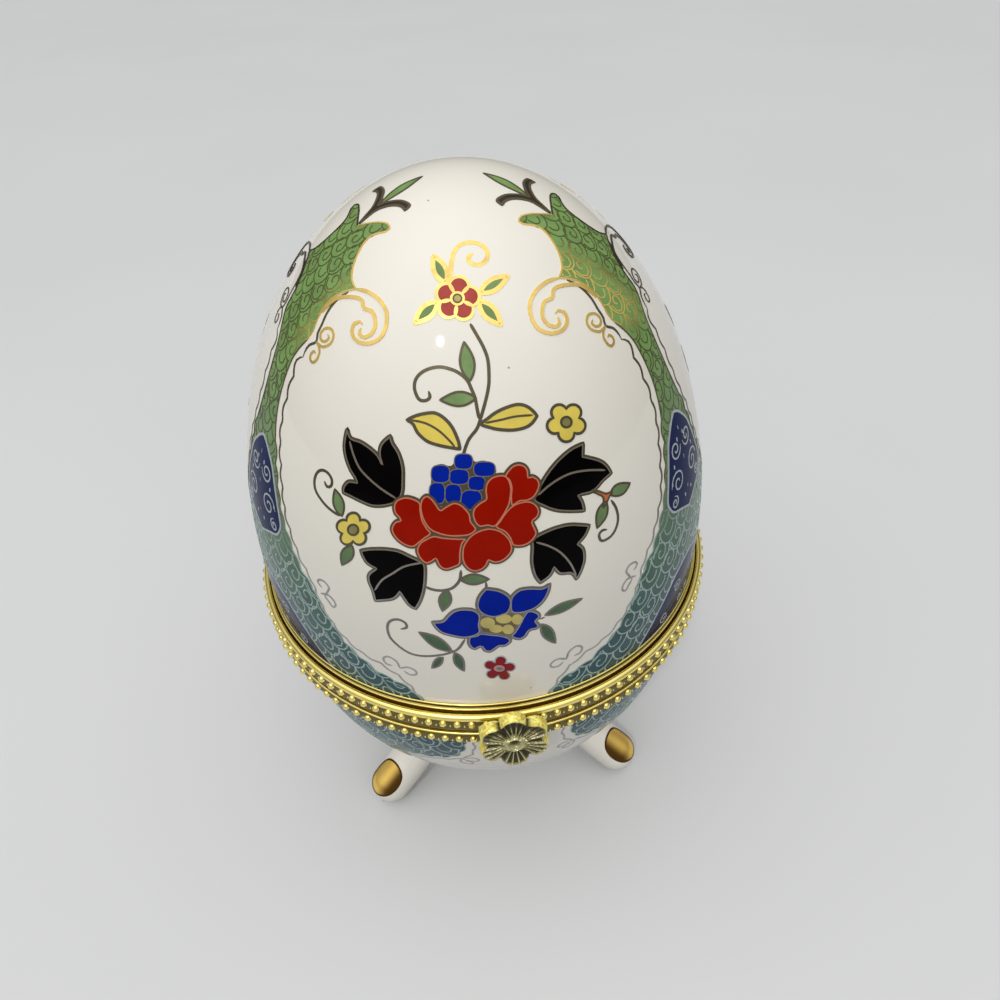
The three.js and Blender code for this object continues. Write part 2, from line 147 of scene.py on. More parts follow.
class Finish(NodeTree):
    """A surface finish: a material with one glossy shader, set out over the object's own place."""

    def __init__(self, name):
        self.material = bpy.data.materials.new(name)
        self.material.use_nodes = True
        super().__init__(self.material.node_tree)
        self.tree.nodes.clear()
        self.place = self.node("ShaderNodeTexCoord", output="Object")

    def noise(self, size, detail=2.0, stretch=(1, 1, 1)):
        """Cloudy noise from 0 to 1 with features about this big."""
        place = self.node("ShaderNodeMapping", {}, {"Vector": self.place, "Scale": stretch})
        return self.node("ShaderNodeTexNoise", {}, {"Vector": place, "Scale": 1 / size, "Detail": detail})

    def height(self, low, high, axis="Z"):
        """0 at the low height, 1 at the high one and above. Another axis may stand in for the height."""
        along = self.node("ShaderNodeSeparateXYZ", {}, {"Vector": self.place}, output=axis)
        return self.spread(along, low, high, "SMOOTHSTEP")

    def spread(self, value, low, high, shape="LINEAR"):
        """A value as 0 at the low end of a range and below, and 1 at its high end and above."""
        sockets = {"Value": value, "From Min": low, "From Max": high}
        return self.node("ShaderNodeMapRange", {"interpolation_type": shape}, sockets)

    def value(self, name):
        """The value that the mesh holds under this name at each of its points."""
        return self.node("ShaderNodeAttribute", {"attribute_name": name}, output="Fac")

    def mixed(self, factor, first, second):
        sockets = {"Factor_Float": factor, "A_Color": first, "B_Color": second}
        return self.node("ShaderNodeMix", {"data_type": "RGBA"}, sockets, output="Result_Color")

    def bump(self, height, depth, strength=1.0):
        return self.node("ShaderNodeBump", {}, {"Height": height, "Distance": depth, "Strength": strength})

    def shade(self, **sockets):
        """Ends the finish: the shader's sockets by name, with _ for a space."""
        named = {key.replace("_", " "): value for key, value in sockets.items()}
        shader = self.node("ShaderNodeBsdfPrincipled", {}, named)
        self.node("ShaderNodeOutputMaterial", {}, {"Surface": shader})
        return self.material


def glazed_porcelain():
    """Cream-white glaze on porcelain: faint warm clouds, a few kiln specks and a slow waver in the gloss."""
    glaze = Finish("glazed_porcelain")
    clouds = glaze.noise(22 * MM, 3)
    body = glaze.mixed(clouds, srgb(232, 226, 211), srgb(240, 235, 222))
    cells = {"Vector": glaze.place, "Scale": 1 / (3.2 * MM)}
    reach = glaze.node("ShaderNodeTexVoronoi", {}, cells, output="Distance")
    chance = glaze.node("ShaderNodeTexVoronoi", {}, cells, output="Color")
    pick = glaze.node("ShaderNodeSeparateColor", {}, {"Color": chance}, output="Red")
    specks = (reach < 0.045) * (pick > 0.84)
    colour = glaze.mixed(specks * 0.6, body, srgb(104, 88, 66))
    waver = glaze.noise(9 * MM, 1)
    return glaze.shade(
        Base_Color=colour,
        Roughness=0.03 + glaze.noise(12 * MM) * 0.03,
        Normal=glaze.bump(waver, 0.03 * MM, 0.5),
        Specular_IOR_Level=0.55,
    )


def all_round(count):
    """Even turns round a full circle."""
    return np.arange(count) * math.tau / count


def turned(outline):
    """Points and faces of a closed outline of (radius, height) turned about the axis, up its outer side."""
    points, rings = [], []
    for radius, height in outline:
        count = ROUND_SEGMENTS if radius > 0 else 1
        rings.append(range(len(points), len(points) + count))
        for turn in all_round(count):
            points.append((radius * math.sin(turn), -radius * math.cos(turn), height))
    faces = []
    for lower, upper in zip(rings, rings[1:] + rings[:1]):
        for i in range(ROUND_SEGMENTS):
            j = (i + 1) % ROUND_SEGMENTS
            corners = [ring[k % len(ring)] for ring, k in ((lower, i), (lower, j), (upper, j), (upper, i))]
            faces.append(list(dict.fromkeys(corners)))
    return points, [face for face in faces if len(face) > 2]


def half_egg(radius, widest, rise, rim, steps):
    """An egg half's line from its pole to its rim, as (radius, height)."""
    turns = np.linspace(math.pi / 2, 0, steps)
    line = [(radius * math.cos(turn), widest + rise * math.sin(turn)) for turn in turns]
    line[0] = (0, widest + rise)
    return line + [(radius, rim)]


def set_piece(name, points, faces, material, body, slot=None, replaced=()):
    """A finished piece: its mesh, its finish, the body it rides and the solids it stands for."""
    mesh = bpy.data.meshes.new(name)
    mesh.from_pydata([tuple(point) for point in points], [], faces)
    return set_mesh(name, mesh, material, body, replaced)


def set_mesh(name, mesh, material, body, replaced=()):
    """The same, from a mesh that is made already."""
    mesh.materials.clear()
    mesh.materials.append(material)
    mesh.shade_smooth()
    mesh.set_sharp_from_angle(angle=SOFT_CREASE)
    piece = bpy.data.objects.new(name, mesh)
    scene.collection.objects.link(piece)
    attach(piece, body)
    if replaced:
        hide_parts(*replaced)
    return piece


porcelain = glazed_porcelain()
outside = half_egg(SHELL_RADIUS, BOWL_WIDEST, -BOWL_DEPTH, BOWL_HIGH.z, OUTER_STEPS)
inside_line = half_egg(SHELL_RADIUS - WALL, BOWL_WIDEST, WALL - BOWL_DEPTH, BOWL_HIGH.z, INNER_STEPS)
points, faces = turned(outside + inside_line[::-1])
set_piece("bowl", points, faces, porcelain, "base", "porcelain", ["base_bowl"])

# Bowl painting: three swags of scale ground hang from the collar, a little out of line with the lid's bands.
# Enamel is laid on the fired glaze in thin films and fired again, with its outlines in gilt and bronze.
# Flat drawings are in millimetres, across from a swag's middle and up from the egg's widest line.
FILM = 0.03 * MM
SINK = 0.06 * MM
DIVIDER_TURNS = [math.radians(angle) for angle in (53.2, 174.9, -63.4)]
SWAG_SHIFT = math.radians(7)
FILL_STEP = 1.1
LINE_STEP = 0.45
ARC_STEPS = 2000
INSIDE_ONLY = 1
SAME_SPOT = 1e-7
BRUSH_TIP = 0.35
BRUSH_SWELL = 0.3
# Colour by height below is painted shade and painted reflection; the crown's clasp side gets a painted
# highlight.
ENAMEL_RISE = (62 * MM, 112 * MM)
LOW_REFLECTION_TO = (80 * MM, 93 * MM)
CROWN_FROM = (101 * MM, 112 * MM)
CROWN_TOP = (107 * MM, 111 * MM)
CROWN_FRONT = (-10.5 * MM, -14.5 * MM)
PANEL_LINE = 0.34
SCALE_WIDTH = 3.0
SCALE_STRETCH = 1.27
SCALE_LINE = 0.155
SCALE_LINE_HEIGHT = 2.2 * FILM
SCALE_BOW = (3.0, -0.45)
SCALE_SEED = 7
SCALE_HEIGHTS = (-6, 15, 30, 45, 60)
SCALE_SIZES = (1.5, 1.42, 1.15, 1.0, 0.95)
ROW_STEPS = 400
SWAG_BOW = (3.0, 0.35)
SWAG_EDGE = [(28.6, 1.5), (28.4, -3.0), (27.4, -6.6), (25.4, -9.3), (21.6, -11.0), (17.4, -12.4),
             (14.0, -14.6), (11.0, -17.6), (7.8, -21.2), (4.4, -24.8), (1.6, -27.2), (0, -29.0),
             (0, -29.0)]
SWAG_WAVE = [(30.0, -2.4), (29.8, -5.6), (28.4, -9.0), (25.6, -11.2), (21.6, -12.7), (17.8, -14.3),
             (14.8, -16.8), (11.8, -19.8), (8.4, -23.6), (4.6, -27.6), (0, -31.4)]
SWAG_LOOPS = [[(26.6, -10.6), (27.6, -11.6), (28.8, -11.6), (29.2, -10.6), (28.4, -9.9), (27.4, -10.2)],
              [(26.6, -10.6), (25.9, -12.2), (26.4, -13.4), (27.5, -13.4), (27.7, -12.2), (26.9, -11.6)],
              [(12.6, -18.6), (13.8, -19.2), (14.8, -18.6), (14.6, -17.4), (13.6, -17.4)]]


class Shell:
    """A half egg's outside. A place on it is so far across from a meridian and up from the widest line."""

    def __init__(self, radius, widest, rise):
        turns = np.linspace(0, math.pi / 2, ARC_STEPS)
        self.radius, self.widest, self.rise = radius, widest, rise
        self.side = math.copysign(1, rise)
        self.reaches = radius * np.cos(turns)
        self.heights = rise * np.sin(turns)
        self.arc = lengths(np.stack([self.reaches, self.heights], axis=-1))

    def panel(self, meridian):
        """Lays flat millimetres, across and up, on the shell."""
        return lambda flat: self.place(flat[:, 0] * MM, flat[:, 1] * MM, meridian)

    def place(self, across, up, meridian):
        along = np.maximum(up * self.side, 0)
        reach = np.interp(along, self.arc, self.reaches)
        straight = np.where(up * self.side < 0, up, 0)
        height = self.widest + np.interp(along, self.arc, self.heights) + straight
        turn = meridian + across / reach
        return np.stack([reach * np.sin(turn), -reach * np.cos(turn), height], axis=-1)

    def normals(self, points):
        height = (points[:, 2] - self.widest) * self.side
        slope = np.maximum(height, 0) * self.side / self.rise ** 2
        return unit(np.concatenate([points[:, :2] / self.radius ** 2, slope[:, None]], axis=1))

    def seen(self, pixels):
        """Where the camera sees these picture points on the shell."""
        focal = LENS / SENSOR * PICTURE_SIDE
        middle = PICTURE_SIDE / 2
        flat = np.asarray(pixels, float)
        rays = np.stack([flat[:, 0] - middle, middle - flat[:, 1], np.full(len(flat), -focal)], axis=-1)
        rays = rays @ np.array(LOOK.to_matrix()).T
        start = np.array(EYE) - (0, 0, self.widest)
        scales = np.array([self.radius, self.radius, abs(self.rise)])
        hit = self.first_hit(start / scales, rays / scales)
        skirt = self.first_hit(start[:2] / self.radius, rays[:, :2] / self.radius)
        below = (start[2] + hit * rays[:, 2]) * self.side < 0
        return np.array(EYE) + np.where(below, skirt, hit)[:, None] * rays

    def first_hit(self, start, rays):
        """How far along each ray the unit ball or circle is met."""
        square = (rays ** 2).sum(1)
        half = rays @ start
        return (-half - np.sqrt(np.maximum(half ** 2 - square * (start @ start - 1), 0))) / square


def lengths(line):
    """How far along a flat line each of its points is."""
    return np.concatenate([[0], np.cumsum(np.hypot(*np.diff(line, axis=0).T))])


def unit(ways):
    """These directions, each one unit long."""
    return ways / np.linalg.norm(ways, axis=1, keepdims=True)


def rightward(ahead):
    """The flat directions to the right of these."""
    return unit(np.stack([ahead[:, 1], -ahead[:, 0]], axis=-1))


def smooth_line(knots, step, closed=False):
    """A smooth line through the knots, with a point about every step. A knot given twice is a corner."""
    knots = np.array(knots, float)
    count = len(knots)
    line = []
    for i in range(count if closed else count - 1):
        reach = [i - 1, i, i + 1, i + 2]
        picks = [k % count if closed else min(max(k, 0), count - 1) for k in reach]
        before, start, end, after = knots[picks]
        length = np.linalg.norm(end - start)
        if length == 0:
            continue
        for t in np.arange(0, 1, 1 / max(1, round(length / step))):
            bend = (2 * before - 5 * start + 4 * end - after) * t ** 2
            sway = (3 * start - before - 3 * end + after) * t ** 3
            line.append(0.5 * (2 * start + (end - before) * t + bend + sway))
    return np.array(line if closed else line + [knots[-1]])


def within(points, outline):
    """Which points lie inside a closed outline."""
    x, y = points.T
    found = np.zeros(len(points), bool)
    for (x0, y0), (x1, y1) in zip(outline, np.roll(outline, -1, axis=0)):
        if y0 != y1:
            found ^= ((y0 > y) != (y1 > y)) & (x < x0 + (y - y0) * (x1 - x0) / (y1 - y0))
    return found


class Painting:
    """Films of colour on one shell, kept by colour until each colour becomes one piece."""

    def __init__(self, shell):
        self.shell = shell
        self.films = {}
        self.pieces = {}

    def film(self, colour, points, faces, layer):
        """A closed film: points lifted to their layer, the same points sunk in the glaze, and the edge."""
        faces = [tuple(face) for face in faces]
        normals = self.shell.normals(points)
        corners = [points[[face[k] for face in faces]] for k in range(3)]
        facing = np.cross(corners[1] - corners[0], corners[2] - corners[0])
        if (facing * normals[[face[0] for face in faces]]).sum() < 0:
            faces = [face[::-1] for face in faces]
        count = len(points)
        sides = {(face[k - 1], face[k]) for face in faces for k in range(len(face))}
        edge = [(b, a, a + count, b + count) for a, b in sorted(sides) if (b, a) not in sides]
        under = [tuple(k + count for k in face[::-1]) for face in faces]
        both = np.concatenate([points + normals * layer * FILM, points - normals * SINK])
        self.films.setdefault(colour, []).append((both, faces + under + edge))

    def fill(self, colour, outline, lay, layer, step=FILL_STEP):
        """A patch of colour inside a flat outline, which lay puts on the shell."""
        low, high = outline.min(0), outline.max(0)
        across, up = np.arange(low[0], high[0], step), np.arange(low[1], high[1], step)
        grid = np.stack(np.meshgrid(across, up), axis=-1).reshape(-1, 2)
        grid = grid[within(grid, outline)]
        clear = [np.hypot(*(outline - spot).T).min() > step / 2 for spot in grid]
        flat = np.concatenate([outline, grid[np.array(clear, bool)]])
        rim = [(i, (i + 1) % len(outline)) for i in range(len(outline))]
        spots = [Vector(spot) for spot in flat]
        knots, _, faces, _, _, _ = delaunay_2d_cdt(spots, rim, [], INSIDE_ONLY, SAME_SPOT)
        self.film(colour, lay(np.array([tuple(knot) for knot in knots])), faces, layer)

    def stroke(self, colour, line, lay, width, layer, closed=False):
        """A brush line of this width in millimetres, thinning at its open ends."""
        points = lay(line)
        ahead = np.roll(points, -1, axis=0) - np.roll(points, 1, axis=0)
        share = np.ones(len(points))
        if not closed:
            ahead[0], ahead[-1] = points[1] - points[0], points[-1] - points[-2]
            along = np.arange(len(points))
            share = np.minimum(1, BRUSH_TIP + BRUSH_SWELL * np.minimum(along, along[::-1]))
        side = np.cross(self.shell.normals(points), ahead)
        side *= (share * width * MM / 2 / np.linalg.norm(side, axis=1))[:, None]
        count = len(points)
        both = np.stack([points + side, points - side], axis=1).reshape(-1, 3)
        faces = []
        for i in range(count if closed else count - 1):
            j = (i + 1) % count
            faces.append((2 * i, 2 * i + 1, 2 * j + 1, 2 * j))
        self.film(colour, both, faces, layer)

    def sheet(self, colour, mesh, meridian, layer):
        """A flat sheet of ornament, closed already, wrapped on to the shell."""
        flat = np.array([tuple(vertex.co) for vertex in mesh.vertices])
        points = self.shell.place(flat[:, 0], flat[:, 1], meridian)
        points += self.shell.normals(points) * (flat[:, 2] + layer * FILM)[:, None]
        faces = [tuple(face.vertices) for face in mesh.polygons]
        self.films.setdefault(colour, []).append((points, faces))

    def set_pieces(self, body, colours):
        """One piece for each colour, in its finish."""
        for colour, films in self.films.items():
            points = np.concatenate([film for film, _ in films])
            faces, count = [], 0
            for film, film_faces in films:
                faces += [tuple(k + count for k in face) for face in film_faces]
                count += len(film)
            self.pieces[colour] = set_piece(f"{body}_{colour}", points, faces, colours[colour], body)


def enamel(name, low, high=None, deeper=0.85, roughness=0.08, gloss=0.3):
    """Fired enamel, from its collar colour to its crown colour as painted shade and reflection, darker where
    pooled.
    """
    paint = Finish(name)
    # Painted shade and painted reflection: the colour changes with height between the two given colours.
    rise = paint.height(*ENAMEL_RISE)
    ends = (low, high or low)
    colour = paint.mixed(rise, *(srgb(*end) for end in ends))
    deep = paint.mixed(rise, *(srgb(*[part * deeper for part in end]) for end in ends))
    pooled = paint.spread(paint.noise(2.6 * MM, 3), 0.4, 0.75)
    grain = paint.noise(0.35 * MM, 1)
    return paint.shade(
        Base_Color=paint.mixed(pooled, colour, deep),
        Roughness=roughness + paint.noise(4 * MM) * 0.1,
        Normal=paint.bump(grain, 0.012 * MM, 0.5),
        Specular_IOR_Level=gloss,
    )


def painted_gilt(name, low, middle, high, metal=0.75, front=None):
    """Painted metal lines, coloured by height as painted reflection: greyed low down, a middle colour,
    another at the crown.

    Lines with a front colour have it on the clasp side of the crown, as a painted highlight.
    """
    gilt = Finish(name)
    lower = gilt.mixed(gilt.height(*LOW_REFLECTION_TO), srgb(*low), srgb(*middle))
    colour = gilt.mixed(gilt.height(*CROWN_FROM), lower, srgb(*high))
    # Painted highlight: the front colour near the crown on the clasp side.
    if front:
        bright = gilt.height(*CROWN_FRONT, "Y") * gilt.height(*CROWN_TOP)
        colour = gilt.mixed(bright, colour, srgb(*front))
    worn = gilt.spread(gilt.noise(1.8 * MM, 3), 0.5, 0.75)
    return gilt.shade(
        Base_Color=gilt.mixed(worn * 0.35, colour, srgb(*[part * 0.7 for part in middle])),
        Metallic=metal - worn * 0.3,
        Roughness=0.26 + worn * 0.2,
        Normal=gilt.bump(gilt.noise(0.5 * MM, 2), 0.02 * MM, 0.6),
        Specular_IOR_Level=0.3,
    )


def mirrored(half):
    """A closed outline from the half of it on the right, which starts and ends on the middle line."""
    left = [(-across, up) for across, up in half[::-1] if across > 0]
    return half + left


def scalloped(line, pitch, depth):
    """A line drawn as a row of shallow bows, each this long and deep, to its right."""
    bow = np.abs(np.sin(math.pi * lengths(line) / pitch)) * depth
    return line + rightward(np.gradient(line, axis=0)) * bow[:, None]


class Growth(NodeTree):
    """A Geometry Nodes tree, with its named inputs, their kinds, and its one output."""

    def __init__(self, name, kinds, output):
        super().__init__(bpy.data.node_groups.new(name, "GeometryNodeTree"))
        for label, kind in kinds.items():
            self.tree.interface.new_socket(label, in_out="INPUT", socket_type=f"NodeSocket{kind}")
        self.tree.interface.new_socket(output, in_out="OUTPUT", socket_type="NodeSocketGeometry")
        given = self.node("NodeGroupInput").socket.node
        self.inputs = [Socket(self, given.outputs[k]) for k in range(len(kinds))]


def scale_tree():
    """Geometry Nodes that draw a scale, with a curl or a bow in it, at each loose point of a flat sheet.

    The lines end where the sheet under them ends.
    """
    tree = Growth("scale_ground", {
        "Sheet": "Geometry", "Scale radius": "Float", "Stretch": "Float", "Line width": "Float",
        "Line height": "Float", "Seed": "Int", "Finish": "Material"}, "Scales")
    sheet, radius, stretch, width, height, seed, finish = tree.inputs

    def bow(reach, segments):
        return tree.node("GeometryNodeCurveArc", {"mode": "RADIUS"}, {
            "Resolution": segments + 1, "Radius": reach, "Start Angle": math.pi, "Sweep Angle": math.pi})

    def swirl(side):
        line = tree.node("GeometryNodeCurveSpiral", {}, {
            "Resolution": 9, "Rotations": 1.25, "Start Radius": radius * 0.12, "End Radius": radius * 0.78,
            "Height": 0.0})
        lowered = tree.node("ShaderNodeCombineXYZ", {}, {"Y": radius * -0.18})
        return tree.node("GeometryNodeTransform", {}, {
            "Geometry": line, "Translation": lowered,
            "Rotation": (0, 0, -math.pi / 2), "Scale": (side, 1, 1)})

    kinds = [[bow(radius, 9), swirl(1)], [bow(radius, 9), swirl(-1)], [bow(radius, 9), bow(radius * 0.5, 6)]]
    kinds = [tree.node("GeometryNodeJoinGeometry", {}, {"Geometry": kind}) for kind in kinds]
    kinds = [tree.node("GeometryNodeGeometryToInstance", {}, {"Geometry": kind}) for kind in kinds]
    kinds = tree.node("GeometryNodeJoinGeometry", {}, {"Geometry": kinds})
    loose = tree.node("GeometryNodeInputMeshVertexNeighbors", output="Face Count") < 1
    choice = tree.node("FunctionNodeRandomValue", {"data_type": "INT"},
                       {"Min_002": 0, "Max_002": 2, "Seed": seed}, output="Value_002")
    tall = tree.node("ShaderNodeCombineXYZ", {}, {"X": 1.0, "Y": stretch, "Z": 1.0})
    scales = tree.node("GeometryNodeInstanceOnPoints", {}, {
        "Points": sheet, "Selection": loose, "Instance": kinds,
        "Pick Instance": True, "Instance Index": choice, "Scale": tall})
    real = tree.node("GeometryNodeRealizeInstances", {}, {"Geometry": scales})
    spot = tree.node("GeometryNodeInputPosition")
    above = tree.node("ShaderNodeVectorMath", {"operation": "ADD"}, {0: spot, 1: (0, 0, MM)})
    on_sheet = tree.node("GeometryNodeRaycast", {}, {
        "Target Geometry": sheet, "Source Position": above, "Ray Direction": (0, 0, -1)}, output="Is Hit")
    cut = tree.node("GeometryNodeDeleteGeometry", {"domain": "POINT"}, {
        "Geometry": real, "Selection": on_sheet < 0.5})
    length = tree.node("GeometryNodeSplineLength", output="Point Count")
    whole = tree.node("GeometryNodeDeleteGeometry", {"domain": "CURVE"}, {
        "Geometry": cut, "Selection": length < 3})
    level = tree.node("GeometryNodeSetCurveNormal", {"mode": "Z_UP"}, {"Curve": whole})
    brush = tree.node("GeometryNodeCurvePrimitiveQuadrilateral", {}, {"Width": width, "Height": height})
    lines = tree.node("GeometryNodeCurveToMesh", {}, {
        "Curve": level, "Profile Curve": brush, "Fill Caps": True})
    done = tree.node("GeometryNodeSetMaterial", {}, {"Geometry": lines, "Material": finish})
    tree.node("NodeGroupOutput", {}, {"Scales": done})
    return tree.tree


def grown(name, group, points, faces, inputs):
    """The plain mesh that a Geometry Nodes tree makes from points and faces, with its named inputs set."""
    seeds = bpy.data.meshes.new(name)
    seeds.from_pydata([tuple(point) for point in points], [], faces)
    carrier = bpy.data.objects.new(name, seeds)
    scene.collection.objects.link(carrier)
    modifier = carrier.modifiers.new(name, "NODES")
    modifier.node_group = group
    for item in group.interface.items_tree:
        if item.name in inputs:
            modifier[item.identifier] = inputs[item.name]
    graph = bpy.context.evaluated_depsgraph_get()
    mesh = bpy.data.meshes.new_from_object(carrier.evaluated_get(graph))
    bpy.data.objects.remove(carrier)
    return mesh


def scale_sheet(outline, material):
    """The flat sheet of scales that covers an outline, in metres. The scales are larger lower down."""
    ups = np.linspace(outline[:, 1].min() - SCALE_WIDTH, outline[:, 1].max() + SCALE_WIDTH, ROW_STEPS)
    sizes = np.interp(ups, SCALE_HEIGHTS, SCALE_SIZES)
    rows = np.concatenate([[0], np.cumsum(np.diff(ups) / sizes[1:])])
    size = np.interp(outline[:, 1], ups, sizes)
    even = np.stack([outline[:, 0] / size, np.interp(outline[:, 1], ups, rows)], axis=-1)
    half = SCALE_WIDTH / 2
    reach = math.ceil(even[:, 0].max() / SCALE_WIDTH) + 1
    seeds = []
    for i, up in enumerate(np.arange(rows[0], rows[-1], half * SCALE_STRETCH)):
        seeds += [(k * SCALE_WIDTH + half * (i % 2), up) for k in range(-reach, reach + 1)]
    flat = np.concatenate([even, seeds]) * MM
    places = np.concatenate([flat, np.zeros((len(flat), 1))], axis=1)
    mesh = grown("scales", scale_ground, places, [tuple(range(len(even)))], {
        "Scale radius": half * MM, "Stretch": SCALE_STRETCH, "Line width": SCALE_LINE * MM,
        "Line height": SCALE_LINE_HEIGHT, "Seed": SCALE_SEED, "Finish": material})
    for vertex in mesh.vertices:
        up = np.interp(vertex.co.y / MM, rows, ups)
        vertex.co.x *= np.interp(up, ups, sizes)
        vertex.co.y = up * MM
    return mesh


colours = {
    # The green's lower colour is darker and bluer, as painted shade and painted reflection.
    "green": enamel("green_enamel", (42, 82, 92), (124, 158, 90), gloss=0.12),
    "scale_lines": painted_gilt("scale_lines", (158, 180, 174), (78, 82, 48), (92, 96, 48), 0.25,
                                (230, 196, 108)),
    "bronze_lines": painted_gilt("bronze_lines", (122, 116, 110), (84, 76, 56), (92, 84, 60), 0.3),
    "gilt_lines": painted_gilt("gilt_lines", (186, 154, 80), (198, 160, 80), (240, 206, 118)),
    "border_lines": painted_gilt("border_lines", (168, 163, 160), (84, 76, 56), (92, 84, 60), 0.3),
    # Dark gilt lines stand for gilt in painted shade and painted reflection.
    "dark_lines": painted_gilt("dark_gilt_lines", (168, 163, 160), (72, 64, 48), (62, 52, 38), 0.3),
}
scale_ground = scale_tree()
bowl_shell = Shell(SHELL_RADIUS, BOWL_WIDEST, -BOWL_DEPTH)
bowl_painting = Painting(bowl_shell)
swag_side = scalloped(smooth_line(SWAG_EDGE[:-1], LINE_STEP), *SCALE_BOW)
swag_side[-1, 0] = 0
swag_top = [(across, SWAG_EDGE[0][1]) for across in np.arange(0, SWAG_EDGE[0][0], FILL_STEP)]
swag = np.array(mirrored(swag_top + [tuple(spot) for spot in swag_side[1:]]))
swag_wave = scalloped(smooth_line(SWAG_WAVE, LINE_STEP), *SWAG_BOW)
swag_scales = scale_sheet(swag, colours["scale_lines"])
swag_border = [swag_wave, *(smooth_line(loop, LINE_STEP) for loop in SWAG_LOOPS)]
for divider in DIVIDER_TURNS:
    meridian = divider + SWAG_SHIFT
    lay = bowl_shell.panel(meridian)
    bowl_painting.fill("green", swag, lay, 1)
    bowl_painting.sheet("scale_lines", swag_scales, meridian, 1)
    for side in (-1, 1):
        bowl_painting.stroke("scale_lines", swag_side * (side, 1), lay, SCALE_LINE, 3)
        for line in swag_border:
            bowl_painting.stroke("border_lines", line * (side, 1), lay, PANEL_LINE, 1)
bowl_painting.set_pieces("base", colours)

# Feet: three splayed porcelain legs, pressed in a mould, luted to the bowl with slip and glazed with it.
# Each is thick where it joins, bends outward and ends in a round toe with a gilded oval on its top.
# Its sizes are in millimetres, and its path is in reach from the egg's axis and height from the ground.
LEG_PATH = [(10.2, 21.6), (12.8, 18.4), (15.8, 14.8), (19.4, 11.2), (23.9, 7.2), (28.2, 4.05)]
LEG_TOP_RADIUS = 5.2
LEG_NECK_RADIUS = 4.2
TOE_RADIUS = 4.25
LEG_NECK = 0.55
LEG_SWELL = 0.45
LEG_SEGMENTS = 48
LEG_STEP = 0.5
TOE_STEPS = 14
GILT_HALF_LENGTH = 4.2
GILT_HALF_WIDTH = 3.4
GILT_MIDDLE = -1.2
GILT_ASIDE = 0.7
GILT_STEP = 0.5
GILT_EDGE = 0.4
# Ranges of painted shade across each toe's gilding.
GILT_OUTER_SHADE = (0.6, 2.8)
GILT_INNER_SHADE = (1.2, 2.4)
TOE_BROWN = (84, 54, 20)


class Leg:
    """A leg's surface: a place on it is so far along from its root and at an angle round from its top."""

    def __init__(self, turn):
        line = smooth_line(LEG_PATH, LEG_STEP)
        self.turn = turn
        self.along = lengths(line)
        self.length = self.along[-1]
        self.line = line
        self.ahead = unit(np.gradient(line, axis=0))
        spine = np.stack([np.zeros(len(line)), -line[:, 0], line[:, 1]], axis=-1) * MM
        self.spine = spine @ np.array(Matrix.Rotation(turn, 3, "Z")).T

    def point(self, along, angle):
        """Beyond the leg's end the place runs on over the round toe."""
        over = max(along - self.length, 0) / TOE_RADIUS
        middle = [np.interp(along, self.along, part) for part in self.line.T]
        ahead = [np.interp(along, self.along, part) for part in self.ahead.T]
        share = min(along / self.length, 1)
        waist = LEG_TOP_RADIUS + (LEG_NECK_RADIUS - LEG_TOP_RADIUS) * min(share / LEG_NECK, 1)
        radius = waist + (TOE_RADIUS - LEG_NECK_RADIUS) * max(share - LEG_NECK, 0) / LEG_SWELL
        ring = radius * math.cos(over)
        lift, aside = ring * math.cos(angle), ring * math.sin(angle)
        reach = middle[0] + radius * math.sin(over) * ahead[0] - lift * ahead[1]
        height = middle[1] + radius * math.sin(over) * ahead[1] + lift * ahead[0]
        spot = Vector((aside, -reach, max(height, 0))) * MM
        return Matrix.Rotation(self.turn, 3, "Z") @ spot

    def mesh(self):
        steps = np.append(np.arange(0, self.length, LEG_STEP), self.length)
        cap = self.length + np.linspace(0, math.pi / 2 * TOE_RADIUS, TOE_STEPS)[1:-1]
        points = [self.point(along, angle) for along in [*steps, *cap] for angle in all_round(LEG_SEGMENTS)]
        faces = [tuple(range(LEG_SEGMENTS))]
        rings = len(points) // LEG_SEGMENTS
        for ring in range(rings - 1):
            for i in range(LEG_SEGMENTS):
                a, b = ring * LEG_SEGMENTS + i, ring * LEG_SEGMENTS + (i + 1) % LEG_SEGMENTS
                faces.append((b, a, a + LEG_SEGMENTS, b + LEG_SEGMENTS))
        faces.append(tuple(range(len(points) - 1, len(points) - 1 - LEG_SEGMENTS, -1)))
        return points, faces

    def normals(self, points):
        """Outward at points on the leg, away from the nearest place on its middle line."""
        gaps = points[:, None] - self.spine[None]
        nearest = np.linalg.norm(gaps, axis=2).argmin(1)
        return unit(gaps[np.arange(len(points)), nearest])

    def lay(self, flat):
        """Puts flat places, along from the leg's end and across from its top, on the leg."""
        spots = [self.point(self.length + along, across / TOE_RADIUS) for along, across in flat]
        return np.array([tuple(spot) for spot in spots])


def oval(middle, half_wide, half_high, count=24):
    """A closed oval line."""
    turns = all_round(count)
    return np.stack([middle[0] + half_wide * np.cos(turns), middle[1] + half_high * np.sin(turns)], axis=-1)


def smooth_step(low, high, value):
    """0 at the low value and below, 1 at the high one and above, and an easy rise between them."""
    share = np.clip((value - low) / (high - low), 0, 1)
    return share * share * (3 - 2 * share)


def set_values(mesh, name, values):
    """Gives each point of a mesh a value that a finish reads by this name."""
    mesh.attributes.new(name, "FLOAT", "POINT").data.foreach_set("value", values)


def toe_gilding():
    """Thick bright gilding, clouded where it is thin, with brown painted shade at its sides leaving the top
    bright.
    """
    gilt = Finish("toe_gilding")
    thin = gilt.noise(2.2 * MM, 3)
    hollow = gilt.value("hollow")
    bright = gilt.mixed(thin, srgb(255, 222, 124), srgb(246, 192, 82))
    return gilt.shade(
        # Painted shade: brown where the hollow value is high.
        Base_Color=gilt.mixed(hollow, bright, srgb(74, 42, 10)),
        Metallic=0.74 + hollow * 0.26,
        Roughness=0.24 + thin * 0.14,
        Normal=gilt.bump(gilt.noise(0.8 * MM, 2), 0.03 * MM, 0.5),
    )


